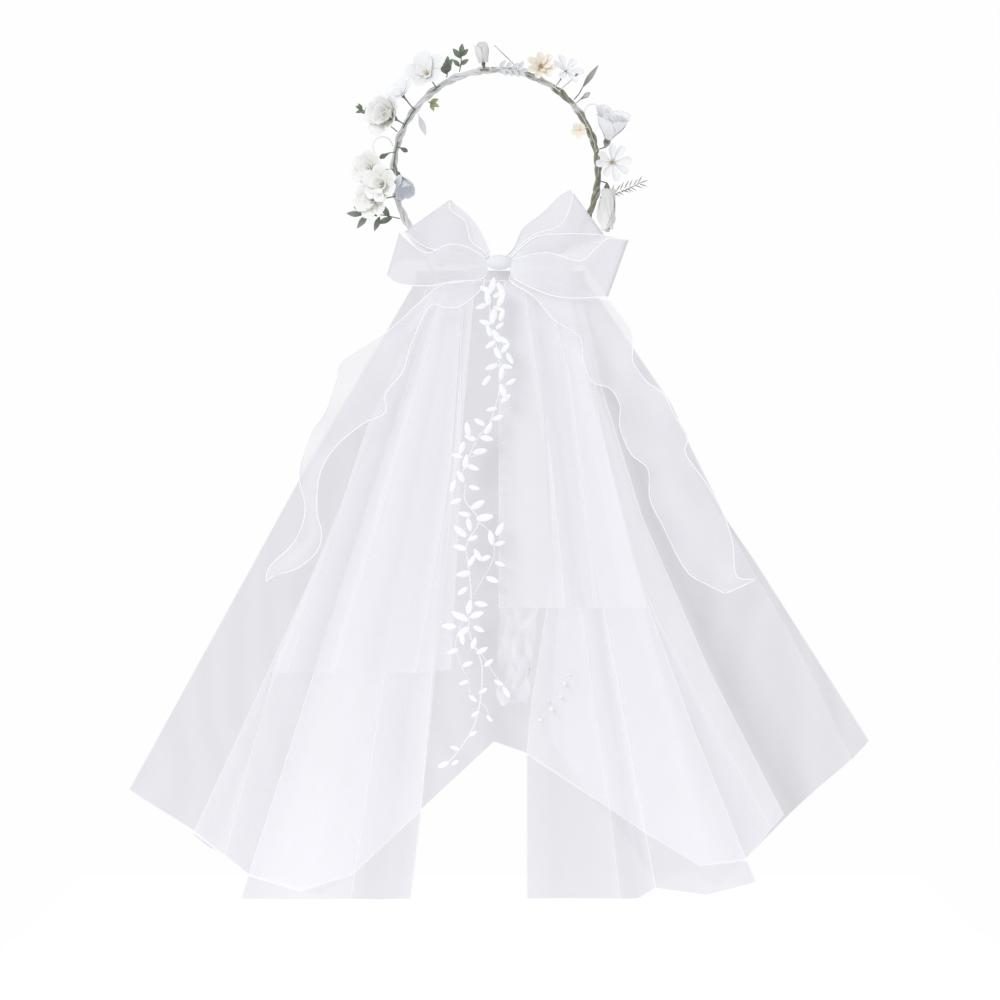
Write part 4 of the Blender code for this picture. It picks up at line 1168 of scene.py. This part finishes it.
# %% Pearls and beads
clear()
bpy.ops.mesh.primitive_uv_sphere_add(segments=10, ring_count=6, radius=1, location=(0, 0, 0))
bead = bpy.context.object
pick(bead, lambda point: abs(point.co.z) > 0.95)
stretch(1, 1, 0.8)
object_mode()
dress(bead, PEARL)
BEADS = [(62, -460, 2.2), (58, -472, 2.0), (50, -483, 2.2), (40, -493, 2.0), (66, -452, 1.4), (47, -476, 1.2)]
BEADS += [(6 + 0.6 * math.sin(k), -233 - 11 * k, 0.9) for k in range(15)]
SHORT_LAYER_HEM = -395
bead_parts = []
for x, z, radius in BEADS:
    twin = copy_of(bead)
    forward = -8.5 if z > SHORT_LAYER_HEM else 3.2
    twin.matrix_basis = Matrix.Translation(Vector((x, forward, z)) * MM) @ Matrix.Scale(radius * MM, 4)
    bead_parts.append(twin)
discard([bead])
joined("sewn_beads_and_pearls", bead_parts, "bow_and_veil", "lace")
print("beads:", len(BEADS))

# %% [markdown]
# ## The wrapped hoop
#
# White thread and floral tape are wound round the wire in long turns. On the crown two white cords and one
# darker one follow the same spiral; here three cords of one finish follow it, a third of a turn apart.
# Colour comes from the place on the hoop: mostly white on the left, and brown and green stems showing on
# the right.

# %% Twisted wrap
HOOP_RADIUS = 92 * MM
HOOP_OPEN_HALF_ANGLE = math.radians(32)
WRAP_SHORT_OF_END = math.radians(7)
WRAP_STEPS = 320
WRAP_TURNS = 12


def twist(phase, spiral_radius):
    first = -math.pi / 2 + HOOP_OPEN_HALF_ANGLE + WRAP_SHORT_OF_END
    last = 1.5 * math.pi - HOOP_OPEN_HALF_ANGLE - WRAP_SHORT_OF_END
    line = []
    for i in range(WRAP_STEPS + 1):
        turn = first + (last - first) * i / WRAP_STEPS
        radial = Vector((math.cos(turn), 0, math.sin(turn)))
        spin = phase + WRAP_TURNS * 2 * math.pi * i / WRAP_STEPS
        loose = 1 + 0.35 * math.sin(23 * turn + 3 * phase)
        reach = HOOP_RADIUS + spiral_radius * loose * math.cos(spin)
        line.append(radial * reach + Vector((0, spiral_radius * math.sin(spin), 0)))
    return line


wrap_look, tree, shader = blank("wrap_thread_and_tape", 0.85, Sheen_Weight=0.1)
ridges = place_group(tree, weave, Scale=300.0)
# The thread and tape are darker in the hollows of their ridges: painted shade.
white = two_tone(tree, ridges, (206, 207, 204), (238, 238, 238))
tape = two_tone(tree, ridges, (104, 104, 88), (164, 162, 146))
where = node(tree, "SeparateXYZ", tree.nodes["place"].outputs["Object"])
right_side = node(tree, "MapRange", where.outputs["X"], From_Min=-0.02, From_Max=0.09, To_Min=-0.1,
                  To_Max=0.12)
amount = arithmetic(tree, "ADD", place_group(tree, mottle, Scale=38.0), right_side.outputs["Result"])
both = mix(tree, share_of(tree, amount, 0.5, 0.6), white, tape, True)
join(tree, both, shader.inputs["Base Color"])
raise_up(tree, shader, ridges, 0.0003)
strands = [twist(phase, 1.7 * MM) for phase in (0, 2.1, 4.2)]
wrap = tubes("hoop_wrap_threads", strands, 1.55 * MM, wrap_look, "crown")
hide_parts("hoop_wrap")
print("wrap strands:", len(strands))

# %% [markdown]
# ## Flowers
#
# A flower is one blank petal copied round an axis in one or two rings. Each copy is tilted and turned by a
# small seeded amount, because hand-wired silk petals never match. The finished flower is then aimed as its
# stem holds it.

# %% Flower makers
def on_hoop(degrees, out=0.0, depth=0.0):
    """A place near the hoop, so many millimetres outside its centreline and behind it."""
    turn = math.radians(degrees)
    reach = HOOP_RADIUS + out * MM
    return Vector((reach * math.cos(turn), depth * MM, reach * math.sin(turn)))


def outwards(degrees, tilt):
    turn = math.radians(degrees)
    radial = Vector((math.cos(turn), 0, math.sin(turn)))
    return Vector((0, -1, 0)) * math.cos(math.radians(tilt)) + radial * math.sin(math.radians(tilt))


def blossom(name, petal, rings, base, facing, replaced, spin, seed, slot_name, extra):
    """Copies a petal round an axis; each ring is (count, tilt in degrees, size, seat in mm)."""
    dice = random.Random(seed)
    aimed = Matrix.Translation(base) @ facing.normalized().to_track_quat("Z", "Y").to_matrix().to_4x4()
    parts = []
    for r, (count, tilt, size, seat) in enumerate(rings):
        for k in range(count):
            around = 2 * math.pi * (k + 0.5 * r) / count + spin + dice.uniform(-0.09, 0.09)
            lean = math.radians(tilt + dice.uniform(-7, 7))
            twin = copy_of(petal)
            twin.matrix_basis = (aimed @ Matrix.Translation((0, 0, 0.5 * MM * r)) @ turned(around, "Z")
                                 @ Matrix.Translation((0, seat * MM, 0)) @ turned(lean, "X")
                                 @ Matrix.Scale(size * dice.uniform(0.94, 1.05), 4))
            parts.append(twin)
    for part in extra:
        part.matrix_basis = aimed @ part.matrix_basis
        parts.append(part)
    joined(name, parts, "crown", slot_name, *replaced)


def stamens(count, long, spread, seed):
    """Fine wires with a dusty head each, modelled once and copied."""
    dice = random.Random(seed)
    clear()
    bpy.ops.mesh.primitive_cone_add(vertices=5, radius1=0.2 * MM, radius2=0.12 * MM, depth=long,
                                    location=(0, 0, long / 2))
    wire = bpy.context.object
    bpy.ops.object.transform_apply(location=True)
    pick(wire, lambda point: point.co.z > long * 0.9)
    for rise, width in ((0.5 * MM, 4), (0.8 * MM, 0.5)):
        bpy.ops.mesh.extrude_region_move(TRANSFORM_OT_translate={"value": (0, 0, rise)})
        stretch(width, width, 1, (0, 0, long))
    object_mode()
    wire.data.materials.append(STAMEN_DUST)
    made = []
    for k in range(count):
        twin = copy_of(wire)
        lean = math.radians(spread * math.sqrt((k + 0.5) / count))
        twin.matrix_basis = turned(2.4 * k, "Z") @ turned(lean, "X") @ Matrix.Scale(dice.uniform(0.8, 1.1), 4)
        made.append(twin)
    discard([wire])
    return made


def make_flowers(petals, flowers):
    """Makes each flower of a table from its petal, and throws the blanks away."""
    blanks = {}
    for name, stem, petal, rings, place, facing, spin, seed, slot_name, wires in flowers:
        if petal not in blanks:
            long, wide, outline, cup, curl, look = petals[petal]
            blanks[petal] = blade(petal, long * MM, wide * MM, outline, cup * MM, curl * MM, look)
        facing = outwards(*facing) if len(facing) == 2 else Vector(facing)
        replaced = [part for part in (stem, stem + "_petals", stem + "_centre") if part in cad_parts]
        extra = stamens(wires[0], wires[1] * MM, *wires[2:]) if wires else ()
        blossom(name, blanks[petal], rings, on_hoop(*place), facing, replaced, spin, seed, slot_name, extra)
    discard(blanks.values())


ROUND = (0.25, 0.6, 0.92, 1.0, 0.86, 0.5)
WIDE = (0.3, 0.75, 1.0, 1.0, 0.9, 0.62)
LONG = (0.3, 0.55, 0.8, 1.0, 0.9, 0.45)
SPOON = (0.2, 0.3, 0.6, 0.95, 1.0, 0.6)
SHEATH = (0.5, 0.85, 1.0, 1.0, 0.8, 0.25)
print("flower makers ready")

# %% Flowers on the left
LEFT_PETALS = {
    "wide_petal": (19, 17, WIDE, 3, 3, WHITE_PETAL), "rose_petal": (24, 22, WIDE, 5, 5, WARM_PETAL),
    "small_petal": (16, 14, WIDE, 2, 2, COOL_PETAL), "cluster_petal": (16, 14, WIDE, 2.4, 2, WARM_PETAL),
    "bell_petal": (22, 16, ROUND, 3, 2, BELL_PETAL_SHADE)}
ROSE_RINGS = [(5, 28, 0.95, 1), (4, 52, 0.78, 1), (3, 72, 0.5, 1)]
CLUSTER_RINGS = [(6, 18, 1.08, 0.8), (4, 46, 0.68, 0.8), (3, 66, 0.4, 0.5)]
CLUSTER_WIRES = (6, 3.4, 30, 4)
make_flowers(LEFT_PETALS, (
    ("open_blossom_top_left", "blossom_top_left", "wide_petal", [(5, 14, 1.0, 1), (3, 38, 0.55, 1)],
     (125.4, 14, -10), (125, 30), 0.4, 1, "white_silk", (9, 4, 40, 1)),
    ("rose_left_open", "rose_left", "rose_petal", ROSE_RINGS,
     (152.8, 13, -13), (172, 38), 0.2, 2, "white_silk", ()),
    ("blossom_behind_rose_open", "blossom_behind_rose", "small_petal", [(5, 18, 1.0, 1), (2, 50, 0.5, 1)],
     (141, 17, -5), (139, 50), 0.1, 3, "white_silk", ()),
    ("cluster_blossom_a_open", "cluster_blossom_a", "cluster_petal", CLUSTER_RINGS,
     (179, 20, -8), (180, 30), 179, 179, "white_silk", CLUSTER_WIRES),
    ("cluster_blossom_b_open", "cluster_blossom_b", "cluster_petal", CLUSTER_RINGS,
     (187.5, 10, -19), (186, 20), 187.5, 187, "white_silk", CLUSTER_WIRES),
    ("cluster_blossom_c_open", "cluster_blossom_c", "cluster_petal", CLUSTER_RINGS,
     (193.5, 20, -11), (193, 30), 193.5, 193, "white_silk", CLUSTER_WIRES),
    ("bell_flower_left", "bell_left", "bell_petal", [(5, 62, 1.0, 1.4)],
     (183, -5, -10), (0.35, -0.5, -0.75), 0.3, 8, "white_silk", ())))

# %% Flowers on the right
RIGHT_PETALS = {
    "daisy_petal": (13.5, 7.5, LONG, 1.6, 1.5, CREAM_PETAL),
    "star_petal": (13, 6.5, SPOON, 1.4, 1, COOL_PETAL),
    "magnolia_petal": (29, 21, WIDE, 5, 4, COOL_PETAL), "inner_petal": (8, 6, WIDE, 1.2, 1, CREAM_PETAL),
    "eight_petal": (16, 7.5, SPOON, 1.8, 1.5, COOL_PETAL)}
make_flowers(RIGHT_PETALS, (
    ("daisy_top_right_open", "daisy_top_right", "daisy_petal", [(7, 18, 1.0, 1.2), (5, 40, 0.7, 1.2)],
     (66.6, 9, -10), (66, 20), 0.1, 9, "cream_silk", (14, 2.6, 55, 5)),
    ("star_flower_top_right_open", "star_flower_top_right", "star_petal", [(6, 16, 1.15, 1), (3, 44, 0.7, 1)],
     (54.9, 17, -8), (55, 40), 0.3, 10, "white_silk", ()),
    ("magnolia_right_open", "magnolia_right", "magnolia_petal", [(4, 50, 1.0, 1.6), (4, 64, 0.9, 1.6)],
     (15.5, 12, -12), (0.18, -0.5, 0.85), 0.5, 11, "white_silk", ()),
    ("small_flower_inside_right_open", "small_flower_inside_right", "inner_petal", [(5, 24, 1.0, 0.7)],
     (25.8, -8, -9), (206, 25), 0.6, 12, "cream_silk", ()),
    ("daisy_right_open", "daisy_right", "eight_petal", [(8, 12, 1.0, 1.2)],
     (4, 12, -11), (0, 20), 0.2, 13, "white_silk", (12, 3, 45, 6))))
print("flowers done")

# %% [markdown]
# ## Buds
#
# A bud is a few petals wrapped close round each other, so it is made like a flower whose petals stand
# almost along the axis and overlap.

# %% Rosebud and hanging bud
BUD_PETALS = {
    "bud_petal": (17, 12, WIDE, 3, 3.5, BUD_PETAL), "hanging_petal": (36, 16, SHEATH, 6, 6, BUD_PETAL)}
make_flowers(BUD_PETALS, (
    ("rosebud_top_closed", "rosebud_top", "bud_petal", [(3, 74, 1.0, 4.4), (3, 80, 0.94, 2.6)],
     (96.6, 6.5, -7), (96, 65), 0.2, 14, "cream_silk", ()),
    ("hanging_bud_right_closed", "hanging_bud_right", "hanging_petal",
     [(4, 86, 1.05, 6.0), (3, 90, 1.0, 3.6)], (-9.5, 10.5, -9), (-0.03, -0.16, -1), 0.4, 15, "white_silk", ())))
print("buds done")

# %% [markdown]
# ## Leaves and sprigs
#
# The sprigs are wired leaves in pairs with one at the tip. Each is a blank leaf with a raised midrib,
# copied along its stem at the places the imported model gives, so it stands where its flat stand-in stood.

# %% Sprigs
STEM_RADIUS = 0.5 * MM
STEM_BEND = 0.05
SPRIG_SEAT = 4.2


def sprig(node_name, leaf, foot, direction, stem_long, pairs, angle, look, size, seed, slot_name, bare,
          uneven):
    """Leaves in pairs on a bent stem; bare is the leafless share at its foot, uneven spreads their angles."""
    dice = random.Random(seed)
    along = Vector(direction).normalized()
    side = along.cross(Vector((0, -1, 0))).normalized()
    tip = foot + along * stem_long
    body = bmesh.new()
    bend = side * stem_long * STEM_BEND
    add_tube(body, smooth([foot, foot.lerp(tip, 0.5) + bend, tip], 10), STEM_RADIUS, 5)
    parts = [piece(node_name + "_wired_stem", body, look)]
    for i in range(pairs):
        for sign in (-1, 1):
            share = bare + (1 - bare) * (i + 0.6 + (0.2 if sign > 0 else 0)) / pairs
            start = foot.lerp(tip, min(1, share))
            lean = math.radians(angle + dice.uniform(-uneven, uneven))
            way = along * math.cos(lean) + side * sign * math.sin(lean)
            way += Vector((0, dice.uniform(-0.2, 0.1), 0))
            twin = copy_of(leaf)
            twin.matrix_basis = frame_at(start, way) @ Matrix.Scale(size * dice.uniform(0.85, 1.1), 4)
            parts.append(twin)
    twin = copy_of(leaf)
    twin.matrix_basis = frame_at(tip, along) @ Matrix.Scale(size, 4)
    parts.append(twin)
    joined(node_name + "_wired", parts, "crown", slot_name, node_name)


LEAF_OUTLINE = (0.12, 0.6, 1.0, 0.9, 0.55, 0.1)
LEAVES = {
    "green_leaf": (13, 5.5, 1.0, -1, GREEN_BLADE), "dark_leaf": (8, 4.2, 0.9, -0.6, DARK_BLADE),
    "olive_leaf": (8, 4.4, 1.0, -1, OLIVE_BLADE), "white_leaf": (18, 6.5, 1.0, -1.5, WHITE_BLADE),
    "small_white_leaf": (8.5, 4.2, 0.8, -0.6, WHITE_BLADE), "grey_leaf": (25, 5.5, 1.0, -1, GREY_BLADE),
    "fern_needle": (9, 1.3, 0.2, 0, GREY_BLADE, 0.3 * MM, 2, 4)}
blanks = {}
for name, (long, wide, cup, curl, look, *more) in LEAVES.items():
    blanks[name] = blade(name, long * MM, wide * MM, LEAF_OUTLINE, cup * MM, curl * MM, look, *more)
# Each sprig: node and leaf; foot by angle, side and depth; direction; stem length, pairs and leaf angle;
# stem finish; leaf size; slot; bare share and unevenness.
SPRIGS = (
    ("leaf_sprig_left", "green_leaf", (205.5, 1, 5), (-1, 0, 0.10), 34, 3, 52, GREEN_TAPE, 1.1,
     "green_leaf", 0, 38),
    ("leaf_sprig_top", "dark_leaf", (110, 1, 0), (0.10, 0, 1), 15, 2, 42, GREEN_TAPE, 1.3,
     "green_leaf", 0, 10),
    ("dark_sprig_top", "dark_leaf", (117.5, 1, 2), (0.05, 0, 1), 10, 2, 30, GREEN_TAPE, 1.2,
     "green_leaf", 0, 10),
    ("dark_sprig_left", "dark_leaf", (157.5, 1, 4), (-1, 0, 0.62), 38, 3, 50, GREEN_TAPE, 0.8,
     "green_leaf", 0.66, 30),
    ("olive_leaf_left", "olive_leaf", (134, -1, -1), (0.75, 0, -0.35), 3, 1, 50, GREEN_TAPE, 1,
     "olive_leaf", 0, 10),
    ("white_leaf_inside_left", "white_leaf", (143, -1, 0), (0.35, 0, -1), 3, 0, 50, WRAP_THREAD, 1,
     "white_silk", 0, 10),
    ("white_sprig_top", "small_white_leaf", (90, 0.2, -6), (1, 0, -0.08), 22, 4, 55, WRAP_THREAD, 1,
     "white_silk", 0, 10),
    ("grey_leaf_right", "grey_leaf", (43, 1, 2), (0.6, 0, 0.85), 13, 0, 50, GREEN_TAPE, 1,
     "grey_leaf", 0, 10),
    ("fern_right", "fern_needle", (-13.5, 1, 4), (1, 0, 0.36), 38, 9, 42, TAPE, 0.95, "grey_leaf", 0, 10))
FIRST_SEED = 21
for seed, (name, leaf, (degrees, side_out, depth), direction, long, *rest) in enumerate(SPRIGS, FIRST_SEED):
    pairs, angle, look, size, slot_name, bare, uneven = rest
    foot = on_hoop(degrees, side_out * SPRIG_SEAT, depth)
    sprig(name, blanks[leaf], foot, direction, long * MM, pairs, angle, look, size, seed, slot_name, bare,
          uneven)
discard(blanks.values())
print("sprigs:", len(SPRIGS))

# %% [markdown]
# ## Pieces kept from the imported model
#
# The stems, tendrils and wire already have their real shape, so they keep it and only take a better finish.

# %% Finishes for the kept pieces
for name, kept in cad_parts.items():
    if kept.hide_render:
        continue
    if name == "hoop_wire":
        look = WIRE
    elif name.startswith("tendril"):
        look = WRAP_THREAD
    elif name.startswith(("top_right", "magnolia", "daisy_right")):
        look = TAPE
    elif name.endswith(("_stem", "_stems")):
        look = GREEN_TAPE
    else:
        continue
    kept.data.materials.clear()
    kept.data.materials.append(look)
shown = [n for n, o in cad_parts.items() if not o.hide_render]
print("kept from the packed model:", len(shown), shown)
